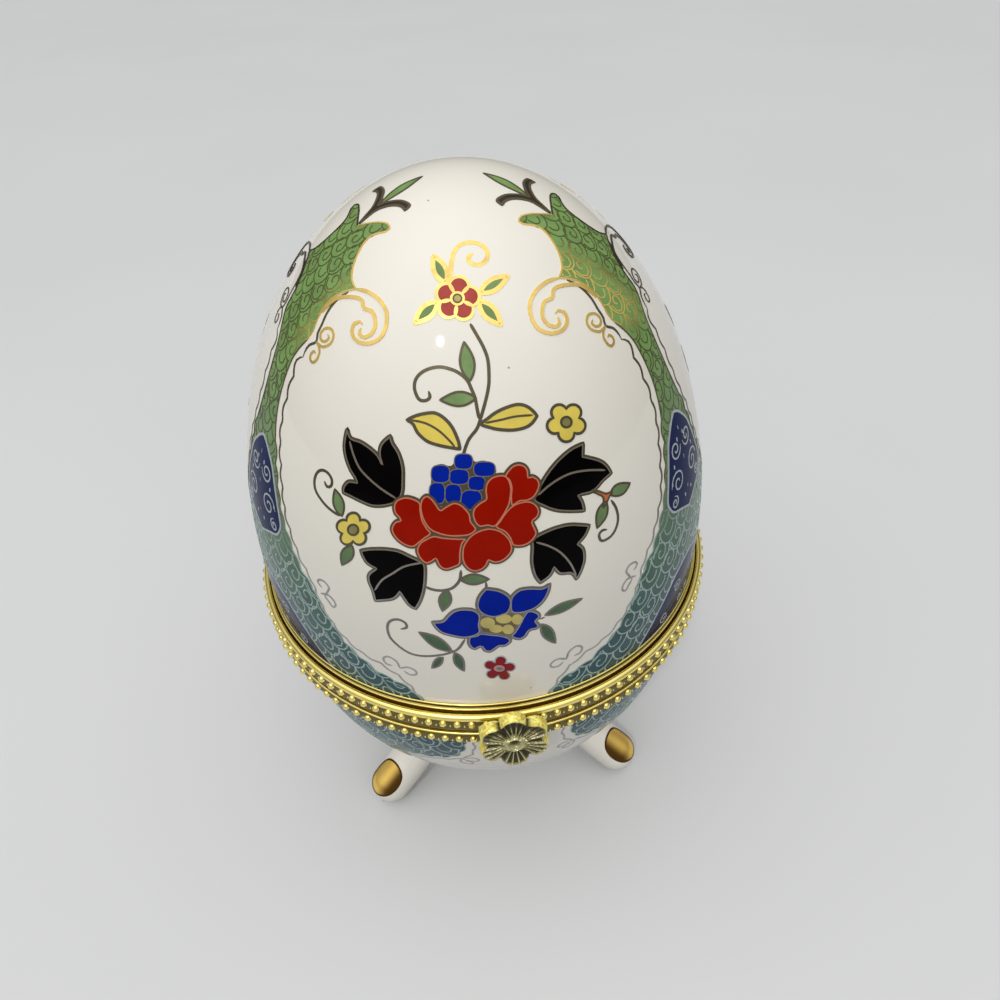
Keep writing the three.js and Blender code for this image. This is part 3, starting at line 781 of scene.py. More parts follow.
colours |= {
    "toe_gilding": toe_gilding(),
    "toe_edge": painted_gilt("toe_edge", TOE_BROWN, TOE_BROWN, TOE_BROWN),
}
toe_painting = Painting(None)
legs = {"rear_foot": (Leg(math.pi), 0), "front_left_foot": (Leg(-math.pi / 3), 1),
        "front_right_foot": (Leg(math.pi / 3), -1)}
for name, (leg, side) in legs.items():
    points, faces = leg.mesh()
    set_piece(f"{name}_leg", points, faces, porcelain, "base", "porcelain", [name])
    toe_painting.shell = leg
    patch = oval((GILT_MIDDLE, GILT_ASIDE * side), GILT_HALF_LENGTH, GILT_HALF_WIDTH, LEG_SEGMENTS)
    toe_painting.fill("toe_gilding", patch, leg.lay, 1, GILT_STEP)
    toe_painting.stroke("toe_edge", patch, leg.lay, GILT_EDGE, 2, closed=True)
toe_painting.set_pieces("base", colours)
film = toe_painting.pieces["toe_gilding"].data
spots = np.array([tuple(vertex.co) for vertex in film.vertices]) / MM
# Painted shade: each toe's gilding turns brown towards its two sides, more on one than the other.
toe_shades = np.zeros(len(spots))
for leg, side in legs.values():
    mine = spots @ (math.sin(leg.turn), -math.cos(leg.turn), 0) > 0
    aside = (spots @ (math.cos(leg.turn), math.sin(leg.turn), 0)) * side
    brown = 0.95 * smooth_step(*GILT_OUTER_SHADE, aside) + 0.7 * smooth_step(*GILT_INNER_SHADE, -aside)
    toe_shades[mine] = brown[mine]
set_values(film, "hollow", toe_shades)

# Base collar: a spun brass ring, gold plated and polished, cemented over the bowl's rim.
# It has a rolled lower edge, a straight web for the bead strip, a flange at the split and an inner lip.
COLLAR_LOW, COLLAR_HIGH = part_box("base_collar")
RIM_GAP = 0.05 * MM
COLLAR_INNER = 32.2 * MM
COLLAR_LIP = 0.6 * MM
LIP_REACH = 3.2 * MM
WEB_RADIUS = 37.0 * MM
FLANGE_RADIUS = COLLAR_HIGH.x
FLANGE_THICK = 0.35 * MM
SEAT_THICK = 2.5 * FLANGE_THICK
ROLL_RADIUS = 0.32 * MM
ROLL_LIFT = 0.2 * ROLL_RADIUS


def brown_ring(name, parts, body, replaced):
    """A collar turned from the parts of its outline, each of them with how much brown painted shade darkens
    it.
    """
    outline = [spot for part, _ in parts for spot in part]
    hollows = [brown for part, brown in parts for _ in part]
    ring = set_piece(name, *turned(outline), polished_gilt, body, "polished_gilt", [replaced])
    set_values(ring.data, "hollow", np.repeat(np.array(hollows, float), ROUND_SEGMENTS))


def arc(middle_radius, middle_height, radius, start, end, steps=8):
    """Part of a round in a collar's outline, from one angle to another in degrees."""
    turns = [math.radians(angle) for angle in np.linspace(start, end, steps)]
    return [(middle_radius + radius * math.cos(turn), middle_height + radius * math.sin(turn))
            for turn in turns]


def polished_gilding():
    """Bright gold plate on brass, with fine wiping marks round the ring, and brown painted shade where
    marked.
    """
    gilt = Finish("polished_gilding")
    cloud = gilt.noise(6 * MM, 3)
    marks = gilt.noise(1.1 * MM, 3, (0.4, 0.4, 9))
    hollow = gilt.value("hollow")
    bright = gilt.mixed(cloud, srgb(252, 236, 154), srgb(236, 212, 112))
    return gilt.shade(
        # Painted shade: brown where the mesh's hollow value is high.
        Base_Color=gilt.mixed(hollow, bright, srgb(60, 37, 4)),
        Metallic=1.0,
        Roughness=0.17 + marks * 0.12 + hollow * 0.25,
        Normal=gilt.bump(marks, 0.012 * MM, 0.5),
    )


polished_gilt = polished_gilding()
bare = SHELL_RADIUS + RIM_GAP
top = COLLAR_HIGH.z
seat = top - SEAT_THICK
roll = (SHELL_RADIUS + ROLL_RADIUS + RIM_GAP, COLLAR_LOW.z + ROLL_LIFT)
edge = FLANGE_THICK / 2
# Each part's number is how much brown painted shade it gets: most on the web, a little on the rolled edge.
brown_ring("base_collar_ring", [
    (arc(*roll, ROLL_RADIUS, 180, 400, 14), 0.3),
    ([(WEB_RADIUS, COLLAR_LOW.z + 2 * ROLL_RADIUS), (WEB_RADIUS, top - FLANGE_THICK)], 0.9),
    (arc(FLANGE_RADIUS - edge, top - edge, edge, -90, 90), 0),
    (arc(COLLAR_INNER + edge, top - edge, edge, 90, 180, 4), 0.1),
    ([(COLLAR_INNER, top - LIP_REACH), (COLLAR_INNER + COLLAR_LIP, top - LIP_REACH)], 0.1),
    ([(COLLAR_INNER + COLLAR_LIP, seat), (bare, seat)], 0.1),
], "base", "base_collar")

# Base bead strip: brass strip stamped with a row of round beads over small darts, satin gilt.
# It is wrapped round the collar's web and soldered, with a gap under the clasp.
STRIP_LOW, STRIP_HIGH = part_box("base_bead_band")
BEAD_COUNT = 117
BEAD_RADIUS = 0.6 * MM
BEAD_SEGMENTS = 8
BEAD_RINGS = 6
STRIP_RADIUS = 37.72 * MM
STRIP_ROUND = 0.2 * MM
CLASP_GAP = 2.4 * MM
BASE_BEAD_HEIGHT = 57.63 * MM
LID_BEAD_HEIGHT = 61.45 * MM
DART_DROP = 0.72 * MM
DART_WIDTH = 0.26
DART_LENGTH = 0.6
DART_SIDES = 6


def satin_gilding():
    """Satin gold plate, greyed: a fine grain from the stamping die, dark in its hollows."""
    gilt = Finish("satin_gilding")
    grain = gilt.noise(0.22 * MM, 2)
    cloud = gilt.noise(5 * MM, 2)
    colour = gilt.mixed(cloud, srgb(132, 120, 62), srgb(108, 97, 48))
    return gilt.shade(
        Base_Color=gilt.mixed(grain * 0.6, colour, srgb(66, 53, 20)),
        Metallic=1.0,
        Roughness=0.34 + grain * 0.2,
        Normal=gilt.bump(grain, 0.03 * MM, 0.7),
    )


def bead_tree():
    """Geometry Nodes for a ring of beads with a dart under each space between them."""
    tree = Growth("bead_row", {
        "Places": "Geometry", "Bead count": "Int", "Ring radius": "Float", "Bead height": "Float",
        "Bead radius": "Float", "Dart drop": "Float", "Gap": "Float", "Finish": "Material"}, "Beads")
    _, count, ring, height, radius, drop, gap, finish = tree.inputs

    def row(shape, lift, turn):
        circle = tree.node("GeometryNodeMeshCircle", {}, {"Vertices": count, "Radius": ring}, output="Mesh")
        spin, move = (tree.node("ShaderNodeCombineXYZ", {}, {"Z": part}) for part in (turn, lift))
        circle = tree.node("GeometryNodeTransform", {}, {
            "Geometry": circle, "Translation": move, "Rotation": spin})
        spot = tree.node("GeometryNodeInputPosition")
        across, back = (
            tree.node("ShaderNodeSeparateXYZ", {}, {"Vector": spot}, output=axis) for axis in "XY")
        size = tree.node("ShaderNodeMath", {"operation": "ABSOLUTE"}, {0: across})
        under = (size < gap) * (back < 0.0)
        kept = tree.node("GeometryNodeDeleteGeometry", {"domain": "POINT"}, {
            "Geometry": circle, "Selection": under})
        return tree.node("GeometryNodeInstanceOnPoints", {}, {"Points": kept, "Instance": shape})

    bead = tree.node("GeometryNodeMeshUVSphere", {}, {
        "Segments": BEAD_SEGMENTS, "Rings": BEAD_RINGS, "Radius": radius}, output="Mesh")
    dart = tree.node("GeometryNodeMeshCone", {}, {
        "Vertices": DART_SIDES, "Radius Bottom": radius * DART_WIDTH, "Radius Top": 0.0,
        "Depth": radius * DART_LENGTH}, output="Mesh")
    rows = [row(bead, height, 0.0), row(dart, height - drop, math.pi / BEAD_COUNT)]
    both = tree.node("GeometryNodeJoinGeometry", {}, {"Geometry": rows})
    real = tree.node("GeometryNodeRealizeInstances", {}, {"Geometry": both})
    done = tree.node("GeometryNodeSetMaterial", {}, {"Geometry": real, "Material": finish})
    tree.node("NodeGroupOutput", {}, {"Beads": done})
    return tree.tree


def bead_strip(body, low, high, bead_height):
    """The plain strip and its row of beads and darts, for one collar."""
    small = STRIP_ROUND
    points, faces = turned([
        (WEB_RADIUS + RIM_GAP, low),
        *arc(STRIP_RADIUS - small, low + small, small, -90, 0, 5),
        *arc(STRIP_RADIUS - small, high - small, small, 0, 90, 5),
        (WEB_RADIUS + RIM_GAP, high),
    ])
    set_piece(f"{body}_strip", points, faces, satin_gilt, body, "satin_gilt", [f"{body}_bead_band"])
    beads = grown(f"{body}_beads", bead_row, [], [], {
        "Bead count": BEAD_COUNT, "Ring radius": STRIP_RADIUS, "Bead height": bead_height,
        "Bead radius": BEAD_RADIUS, "Dart drop": DART_DROP, "Gap": CLASP_GAP, "Finish": polished_gilt})
    set_mesh(f"{body}_beads", beads, polished_gilt, body)


satin_gilt = satin_gilding()
bead_row = bead_tree()
bead_strip("base", STRIP_LOW.z, STRIP_HIGH.z, BASE_BEAD_HEIGHT)

# Catch, hinge and pin: small brass stampings, satin gilt, soldered to the collars.
# The hinge leaves are rolled into knuckles round a drawn brass pin with upset heads.
EDGE_ROUND = 0.12 * MM
SAME_POINT = MM / 1000


def softened(node, piece, material, body):
    """A piece in the shape of its solid, with its edges eased as a tumbled stamping's are."""
    work = bmesh.new()
    work.from_mesh(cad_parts[node].data)
    bmesh.ops.remove_doubles(work, verts=work.verts, dist=SAME_POINT)
    bmesh.ops.dissolve_limit(work, angle_limit=math.radians(1), verts=work.verts, edges=work.edges)
    sharp = [edge for edge in work.edges if edge.is_manifold and edge.calc_face_angle() > SOFT_CREASE]
    bmesh.ops.bevel(
        work, geom=sharp, offset=EDGE_ROUND, segments=2, profile=0.5, affect="EDGES", clamp_overlap=True)
    mesh = bpy.data.meshes.new(piece)
    work.to_mesh(mesh)
    work.free()
    set_mesh(piece, mesh, material, body, [node])


softened("clasp_catch", "catch_plate", satin_gilt, "base")
softened("base_hinge_leaf", "base_leaf", satin_gilt, "base")
softened("hinge_pin", "headed_pin", polished_gilt, "base")
softened("lid_hinge_leaf", "lid_leaf", satin_gilt, "lid")
softened("clasp_tongue", "tongue_strip", satin_gilt, "lid")

# Lid: the upper half of the egg, slip-cast in porcelain and glazed inside and out, as the bowl is.
# It is cemented into its own collar.
LID_LOW, LID_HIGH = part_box("lid_shell")
LID_RISE = 55.4 * MM
LID_WIDEST = LID_HIGH.z - LID_RISE
crown = half_egg(SHELL_RADIUS, LID_WIDEST, LID_RISE, LID_LOW.z, OUTER_STEPS)
hollow = half_egg(SHELL_RADIUS - WALL, LID_WIDEST, LID_RISE - WALL, LID_LOW.z, INNER_STEPS)
points, faces = turned(crown[::-1] + hollow)
set_piece("lid_dome", points, faces, porcelain, "lid", "porcelain", ["lid_shell"])

# Lid painting, dividers: three tall bands of scale ground, from the collar to the crown, with gilt scrolls.
# Each has a blue medallion at its waist and a blue arch at its foot.
# The front two have scrolls and a leafed sprig at the head, and the rear one a plain head.
# Half outlines are in millimetres, across from the band's middle and up from the egg's widest line.
BAND_CREST = [(0, 58.3), (0, 58.3), (1.4, 59.3), (2.9, 60.1), (4.2, 60.3), (5.1, 59.8), (5.0, 59.3),
              (4.4, 58.9), (3.8, 58.3), (3.65, 57.4), (4.0, 56.0), (4.7, 54.4), (5.7, 53.0), (6.6, 52.3),
              (7.35, 51.9), (7.35, 51.9), (5.9, 51.1), (4.9, 49.8), (4.5, 48.5), (4.5, 47.0), (4.7, 45.6),
              (4.45, 44.4)]
BAND_WAIST = [(4.45, 44.4), (3.65, 42.9), (3.1, 41.2), (2.95, 39.2), (2.95, 37.0), (3.1, 34.9), (3.5, 32.7),
              (4.1, 30.6)]
BAND_SLIM = math.radians(1.7)
BAND_SKIRT = [(4.1, 30.6), (4.7, 28.1), (5.5, 25.5), (6.3, 23.0), (7.3, 20.4), (8.7, 18.0), (10.0, 15.9),
              (11.5, 13.8), (13.3, 12.0), (14.7, 9.2), (16.5, 6.3), (17.6, 4.7), (19.2, 3.0), (20.9, 1.7),
              (22.6, 0.2), (24.6, -0.6), (26.4, -1.5), (27.8, -2.9), (28.8, -4.3), (29.6, -6.4)]
SCROLL_OUTER = [(7.35, 51.9), (8.8, 52.0), (10.7, 51.5), (12.4, 50.5), (13.35, 49.4), (13.9, 48.2),
                (13.9, 47.2), (13.1, 46.5), (11.9, 46.35), (10.8, 46.7), (10.1, 47.4), (9.9, 48.2),
                (10.4, 48.6), (10.9, 48.4)]
SCROLL_INNER = [(4.7, 48.0), (5.1, 49.3), (6.0, 50.4), (7.9, 51.0), (9.0, 50.9), (9.9, 50.1), (11.0, 50.0),
                (12.0, 49.2), (12.6, 48.3), (12.6, 47.4), (12.1, 47.0), (11.3, 47.2), (11.0, 47.9)]
SCROLL_LINE = 0.42
KNOB_CURLS = [[(6.0, 44.7), (7.3, 44.5), (8.2, 45.2), (8.1, 46.15), (7.25, 46.75), (6.35, 46.5), (6.1, 45.75),
               (6.6, 45.15), (7.35, 45.2), (7.6, 45.75), (7.15, 46.05)],
              [(6.0, 44.7), (6.8, 44.3), (7.3, 43.6), (7.25, 42.7), (6.8, 42.35), (6.25, 42.6), (6.05, 43.15),
               (6.35, 43.6), (6.75, 43.4)]]
BORDER_HEAD = [(6.6, 51.3), (5.9, 50.4), (5.5, 49.2), (5.4, 48.0), (5.55, 46.8), (5.6, 45.6), (6.0, 44.7),
               (5.1, 43.9), (4.85, 42.9), (4.9, 42.3)]
BORDER = [(4.9, 42.3), (4.35, 41.4), (4.5, 40.0), (4.6, 37.6), (4.75, 34.5), (5.3, 31.2), (6.1, 28.6),
          (7.0, 25.6), (8.3, 21.5), (10.0, 18.5), (11.5, 16.0), (13.4, 13.6), (15.2, 9.6), (17.5, 6.4),
          (20.6, 3.9), (23.8, 2.6), (26.6, 0.4), (28.2, -2.3), (29.2, -5.4)]
BORDER_BOW = (2.9, 0.42)
BORDER_LOOPS = [[(15.5, 12.0), (16.2, 13.4), (16.3, 14.0), (15.6, 14.6), (14.7, 14.5), (14.4, 13.9),
                 (15.1, 13.3)],
                [(14.8, 12.1), (16.2, 12.5), (17.1, 11.9), (17.3, 11.2), (16.8, 10.7), (16.1, 11.4),
                 (15.5, 12.0)],
                [(26.4, 2.6), (26.0, 4.0), (24.9, 4.6), (24.1, 3.9), (24.4, 2.9), (25.3, 2.8)],
                [(26.4, 2.6), (27.6, 3.2), (28.6, 2.7), (28.6, 1.9), (27.7, 1.6), (26.9, 2.2)]]
LOOP_LINE = 0.32
SPRIG_LINE = LOOP_LINE * 0.8
CREST_LINE = SCALE_LINE * 1.3
KNOB_LINE = SCROLL_LINE * 0.8
DARK_THIN = 0.7
CURL_LINE = LOOP_LINE * 0.75
CURL_TURNS = 1.5
CURL_POINTS = 21
CURL_CLOSES = 0.85
DROP = (0.16, 0.34, 8)
DROP_STEP = 0.3
MEDALLION = [(0, 29.8), (0, 29.8), (1.0, 29.3), (2.2, 28.2), (3.4, 26.7), (4.3, 24.5), (5.2, 22.0),
             (5.95, 19.6), (5.8, 18.4), (4.8, 17.0), (2.7, 16.1), (0, 14.8), (0, 14.8)]
MEDALLION_CURLS = [(2.7, 20.6, 1.9, 0), (1.9, 25.2, 1.5, 180), (4.2, 18.2, 1.0, 90)]
MEDALLION_DROPS = [(0, 27.4), (0, 23.0), (0, 18.2), (1.1, 17.4), (4.3, 21.2), (1.0, 26.2), (3.1, 23.2)]
ARCH = [(0, 6.1), (2.6, 5.6), (4.9, 4.6), (7.0, 2.6), (8.9, 0.5), (10.0, -1.0), (11.6, -2.9), (13.4, -5.4),
        (14, -6.4), (14, -6.4), (0, -6.4), (0, -6.4)]
ARCH_CURLS = [(3.4, 1.6, 1.3, 30), (6.6, -2.4, 1.2, 200), (1.4, -2.6, 1.0, 120)]
SPRIG_LEAF = [(0, 68.4), (0, 68.4), (0.35, 67.3), (0.65, 65.9), (0.6, 64.4), (0.3, 63.0), (0, 62.0),
              (0, 62.0)]
SPRIG_CUP = [(0, 59.0), (0.45, 61.2), (1.2, 62.3), (2.2, 62.95), (3.2, 63.0), (4.1, 62.6), (4.1, 62.6),
             (3.95, 63.4), (3.1, 63.75), (2.1, 63.75), (1.2, 63.3), (0.5, 62.7), (0, 62.0)]
colours |= {
    "navy": enamel("navy_enamel", (8, 28, 80), (10, 30, 84), gloss=0.03),
    "brown_black": enamel("brown_black_enamel", (40, 26, 14), (52, 34, 18), 0.7),
    "pale_lines": painted_gilt("pale_gilt_lines", (168, 178, 184), (176, 182, 180), (240, 214, 140), 0.25),
}
lid_surface = Shell(SHELL_RADIUS, LID_WIDEST, LID_RISE)
lid_painting = Painting(lid_surface)


def around(middle, out, turns, squash=1.0):
    """Flat places so far out from a middle at these turns."""
    return np.stack([middle[0] + out * np.cos(turns), middle[1] + out * np.sin(turns) * squash], axis=-1)


def curl(middle, radius, start):
    """A flat spiral line that winds in to its middle."""
    sweep = np.linspace(0, 1, CURL_POINTS)
    turns = math.radians(start) + sweep * CURL_TURNS * math.tau
    return around(middle, radius * (1 - CURL_CLOSES * sweep), turns)


def half_line(knots, step=LINE_STEP):
    """A line on the right half of a band, brought in towards the middle, more so where the egg is wider."""
    line = smooth_line(knots, step)
    reach = np.interp(line[:, 1] * MM, lid_surface.arc, lid_surface.reaches) / MM
    line[:, 0] = np.maximum(line[:, 0] - BAND_SLIM * reach, 0)
    return line


crest = half_line(BAND_CREST[1:])
waist = half_line(BAND_WAIST)
skirt = scalloped(half_line(BAND_SKIRT), *SCALE_BOW)
half_band = [tuple(spot) for line in (crest[:-1], waist[:-1], skirt) for spot in line]
half_band += [(across, skirt[-1, 1]) for across in np.arange(skirt[-1, 0] - FILL_STEP, 0, -FILL_STEP)]
half_band.append((0, skirt[-1, 1]))
band = np.array(mirrored(half_band))
medallion = smooth_line(mirrored(MEDALLION), LINE_STEP, closed=True)
arch = smooth_line(mirrored(ARCH), LINE_STEP, closed=True)
band_scales = scale_sheet(band, colours["scale_lines"])
border = scalloped(half_line(BORDER), *BORDER_BOW)
leaf = smooth_line(mirrored(SPRIG_LEAF), LINE_STEP / 2, closed=True)
cup = smooth_line(mirrored(SPRIG_CUP), LINE_STEP / 2, closed=True)
for meridian in DIVIDER_TURNS:
    lay = lid_surface.panel(meridian)
    front = math.cos(meridian) > 0
    lid_painting.fill("green", band, lay, 1)
    lid_painting.sheet("scale_lines", band_scales, meridian, 1)
    for patch in (medallion, arch):
        lid_painting.fill("navy", patch, lay, 3, FILL_STEP)
        lid_painting.stroke("pale_lines", patch, lay, PANEL_LINE, 4, closed=True)
    if front:
        lid_painting.fill("green", leaf, lay, 1, FILL_STEP / 2)
        lid_painting.stroke("bronze_lines", leaf, lay, SPRIG_LINE, 2, closed=True)
        lid_painting.fill("brown_black", cup, lay, 2, FILL_STEP / 2)
        lid_painting.stroke("bronze_lines", cup, lay, LOOP_LINE, 3, closed=True)
    for side in (-1, 1):
        flip = (side, 1)
        # Painted shade and painted reflection: the rear band and the outer sides of the front bands get dark,
        # thinner gilt lines.
        dark = not front or side * math.sin(meridian) > 0
        gilt, thin = ("dark_lines", DARK_THIN) if dark else ("gilt_lines", 1.0)
        lid_painting.stroke(gilt, crest * flip, lay, CREST_LINE, 3)
        lid_painting.stroke("bronze_lines", waist * flip, lay, SCALE_LINE, 3)
        lid_painting.stroke("scale_lines", skirt * flip, lay, SCALE_LINE, 3)
        for scroll in (SCROLL_OUTER, SCROLL_INNER) if front else ():
            lid_painting.stroke(gilt, half_line(scroll) * flip, lay, SCROLL_LINE * thin, 4)
        for knob in KNOB_CURLS:
            lid_painting.stroke(gilt, half_line(knob, LINE_STEP / 2) * flip, lay, KNOB_LINE * thin, 2)
        for line in (half_line(BORDER_HEAD), border):
            lid_painting.stroke("dark_lines" if dark else "border_lines", line * flip, lay, PANEL_LINE, 1)
        for loop in BORDER_LOOPS:
            lid_painting.stroke("border_lines", half_line(loop, LINE_STEP / 2) * flip, lay, LOOP_LINE, 1)
        for across, up, radius, start in MEDALLION_CURLS + ARCH_CURLS:
            spiral = curl((across, up), radius, start) * flip
            lid_painting.stroke("pale_lines", spiral, lay, CURL_LINE, 4)
        for middle in MEDALLION_DROPS:
            lid_painting.fill("pale_lines", oval(middle, *DROP) * flip, lay, 4, DROP_STEP)

# Lid painting, sprays: a bouquet in each panel, in red, two blues, black, yellow and green with gilt lines.
# The front one is set out in the camera's view, in picture points, and the other two repeat it.
SPRAY_FILL = 5.0
SPRAY_LINE = 2.0
FINE_LINE = 0.25
LEAF_LINE = 0.27
FLOWER_LINE = 0.33
STEM_LINE = 0.38
SPOKE_LINE = 0.44
GOLD_LINE = 0.52
OUTER_LINE = 0.55
INNER_INSET = 0.5
INNER_LINE = 0.16
BERRY_LINE = INNER_LINE * 0.7
LOW_FLOWER_LINE = FINE_LINE * 0.6
FOIL_POINTS = 60
CUSHION_POWER = 0.7
LEAF_SWELL = [(0.22, 0.6), (0.45, 0.98), (0.66, 0.95), (0.86, 0.55)]
PEONY_PETALS = [
    [(400, 498.5), (407, 497), (415, 499), (420.5, 503), (421, 510), (423, 520), (427.5, 528), (431, 533),
     (424, 538.5), (419, 542.5), (414, 546), (407, 545), (399, 540), (393.5, 533), (392.5, 527), (396, 521.5),
     (401, 520), (400, 517.5), (396, 513), (394.5, 507), (396, 501.5)],
    [(421, 503), (423, 498), (427.5, 495.5), (432.5, 499), (436, 503.5), (440.5, 509.5), (445, 507),
     (450, 504), (455, 502.5), (461, 504.5), (467, 510), (470, 515), (471, 521), (476, 528.5), (470, 534),
     (461, 535.5), (450, 535.5), (439, 533), (430, 528.5), (424, 520), (421, 510)],
    [(499, 475), (491.5, 477.5), (486.5, 483.5), (485.5, 491), (486, 498.5), (480, 502.5), (474, 508.5),
     (473, 515), (475.5, 522), (480, 526), (487.5, 525), (494.5, 526), (500, 520), (505, 512), (509, 504),
     (510.5, 496), (511, 487.5), (509, 480), (505, 475.5)],
    [(505, 476), (508.5, 470), (512.5, 466), (518.5, 464), (524.5, 466), (527.5, 471), (528, 477), (532, 476),
     (537, 479), (539, 484), (537.5, 490), (533.5, 496.5), (527, 500), (519, 501), (512, 505), (510.5, 497),
     (511, 487.5), (509, 480)],
    [(512, 505.5), (520, 502), (528.5, 501), (535, 504), (538.5, 510), (537, 516), (532, 521),
     (533.5, 526), (536, 532.5), (532.5, 539), (526, 544), (518, 545.5), (512.5, 544), (510, 538),
     (505, 531.5), (496, 526.5), (500, 520), (505.5, 512)],
    [(490, 528), (480, 530), (472.5, 534), (467.5, 539), (463.5, 546), (462.5, 555), (464, 562.5),
     (469, 568.5), (475, 570.5), (482, 568.5), (486.5, 564), (488.5, 559.5), (493, 561.5), (500, 561),
     (507, 556.5), (511.5, 550), (511, 543), (507.5, 536.5), (500, 530.5)],
    [(434, 535.5), (426.5, 538.5), (420.5, 542.5), (417.5, 549), (419, 555), (422.5, 560), (427, 562.5),
     (432.5, 560.5), (436, 558), (439, 564), (442.5, 567.5), (447.5, 568.5), (455, 566), (460, 562.5),
     (460.5, 552), (462.5, 542.5), (466, 538.5), (455, 538), (443, 537)],
]
BERRY_GROUND = [(453.2, 464.1), (455.7, 456.6), (464, 453.3), (471.4, 456.6), (474.8, 461.6), (483, 460.5),
                (491.3, 463.1), (496.3, 470.4), (493.3, 477.5), (485.7, 485.2), (484, 494.1), (482.2, 501.8),
                (470.6, 508.5), (459.8, 504), (444.9, 506.4), (432, 503.8), (428.7, 492.8), (431.2, 481.5),
                (430.8, 473.2), (434.1, 466.3), (441.6, 463.9), (448.9, 465.9)]
BERRIES = [((463.5, 461.4), 9.2, 7.8), ((484.4, 469), 10.9, 7.4), ((440.6, 473.8), 9.4, 8.8),
           ((459.2, 476.6), 9.8, 7.8), ((476.8, 483.2), 8.6, 7.3), ((437.2, 493), 8.0, 10.7),
           ((453.2, 493.6), 8.3, 9.7), ((471.4, 499.6), 10.5, 9.8)]
DARK_LEAVES = [
    ([(347.5, 429), (347.5, 429), (351, 438), (361, 442), (370, 448), (378, 455.5), (382.5, 464.5),
      (382.5, 464.5), (380, 456), (380.5, 447.5), (384, 441.5), (390.5, 436), (390.5, 436), (392.5, 443),
      (398.5, 453), (402.5, 466), (403, 480), (402, 493), (397, 501), (386, 505), (373, 505.5),
      (361, 501), (351, 496), (343.5, 492.5), (343.5, 492.5), (344, 487), (349, 481.5), (357.5, 482.5),
      (357.5, 482.5), (355, 477), (350, 468.5), (346, 457), (344.5, 446), (346, 434)],
     [(350, 441), (354, 455), (360, 468), (370, 479), (382, 489), (396, 498)]),
    ([(534, 499), (541, 484), (550, 470), (560, 458.5), (571.5, 449), (583, 443.5), (583, 443.5),
      (582.5, 456.5), (582.5, 456.5), (590, 458), (600, 461), (606.5, 466), (611, 473), (611, 473),
      (603, 480), (597.5, 486.5), (591.5, 491.5), (582, 494), (578, 495.5), (578, 495.5), (582, 502),
      (584, 510.5), (584, 510.5), (570, 511), (556.5, 510), (545, 506)],
     [(538, 495), (548, 486), (560, 478), (573, 472.5), (590, 470), (605, 470)]),
    ([(361, 550.5), (361, 550.5), (371, 549), (386, 549), (398.5, 551), (408.5, 555.5), (420, 561),
      (424.5, 565), (425, 577), (423.5, 590), (420, 601), (415.5, 608.5), (415.5, 608.5), (408.5, 604),
      (400, 591.5), (400, 591.5), (397, 595.5), (391, 599), (375.5, 600.5), (375.5, 600.5), (373, 591),
      (369, 581), (369.5, 574), (376.5, 568.5), (376.5, 568.5), (367.5, 563), (363, 556)],
     [(424, 562), (405, 566), (393, 573), (382, 580), (375, 590)]),
    ([(533, 539), (545, 532), (558, 527), (571.5, 524.5), (589, 525.5), (589, 525.5), (585, 535),
      (577.5, 544), (577.5, 544), (583, 549), (584, 560), (580.5, 571.5), (576.5, 579), (576.5, 579),
      (571.5, 573), (560, 573), (554, 567), (554, 567), (550, 575), (540.5, 582.5), (540.5, 582.5),
      (535, 575), (532, 562), (532.5, 547)],
     [(536, 542), (548, 545.5), (560, 552), (570, 563), (576, 575)]),
]
BLUE_PETALS = [
    [(486, 588.5), (486, 588.5), (481, 594), (478, 600), (477.5, 606), (480, 611), (486, 615), (494, 616.5),
     (501, 615), (507.5, 612), (510.5, 606), (510.5, 599), (506, 594), (497.5, 590)],
    [(511, 599), (514, 594), (520, 589.5), (530, 588), (542, 588), (549.5, 584), (549.5, 584), (547.5, 592.5),
     (542.5, 601), (535, 607.5), (525, 611.5), (516, 612.5), (511, 610)],
    [(433, 622), (433, 622), (443, 621), (448.5, 615.5), (454, 611), (462, 609), (472, 609.5), (478, 612.5),
     (480, 617), (479, 625), (480, 631), (475, 635), (465, 637), (454, 635.5), (443, 632.5), (437, 628)],
    [(469, 639), (470, 636.5), (477, 635), (481, 633), (490, 634), (500, 635), (508.5, 637.5), (510, 641),
     (505, 645), (499, 645.5), (495, 648), (490, 651), (485, 650), (482.5, 646.5), (478.5, 646.5),
     (475, 648.5), (471, 646.5), (469, 642.5)],
    [(527, 611.5), (533.5, 611), (538.5, 614), (538.5, 617.5), (535, 621), (538, 624), (537, 627.5),
     (531, 629), (527.5, 631.5), (524.5, 636), (519, 638.5), (511.5, 636), (514.5, 632), (518.5, 626),
     (521.5, 620)],
]
BLUE_MIDDLE = [(480, 617), (486, 616), (494, 617), (501, 616), (508, 613), (516, 613), (523, 613), (521, 621),
               (517, 627), (513, 635), (505, 636), (497, 635), (489, 634), (481, 632.5), (479.5, 623)]
BLUE_SEEDS = [((487.6, 622.5), 7.4, 5.4), ((503.8, 618.4), 8.2, 4.6), ((517.3, 619.1), 5.8, 5.1),
              ((496.2, 628.4), 7.0, 3.9), ((508.1, 629), 5.8, 4.8)]
LOW_FLOWER = ((499.3, 668), 10.4, 5.7, -82, 0.76)
LOW_FLOWER_MIDDLE = ((499.3, 668), 5.6, 3.2)
LOW_FLOWER_EYE = ((499.3, 668), 3.0, 1.3)
TOP_FLOWER_GILT = ((457.5, 299), 13.2, 10.8, -83)
TOP_FLOWER_RED = ((457.5, 299), 12, 8.5, -83)
TOP_FLOWER_RING = ((457.5, 299), 7.5, 7.2)
TOP_FLOWER_CORE = ((457.5, 299), 4.2, 4.0)
TOP_FLOWER_SPOKE = (6, 10, 14, 18.5)
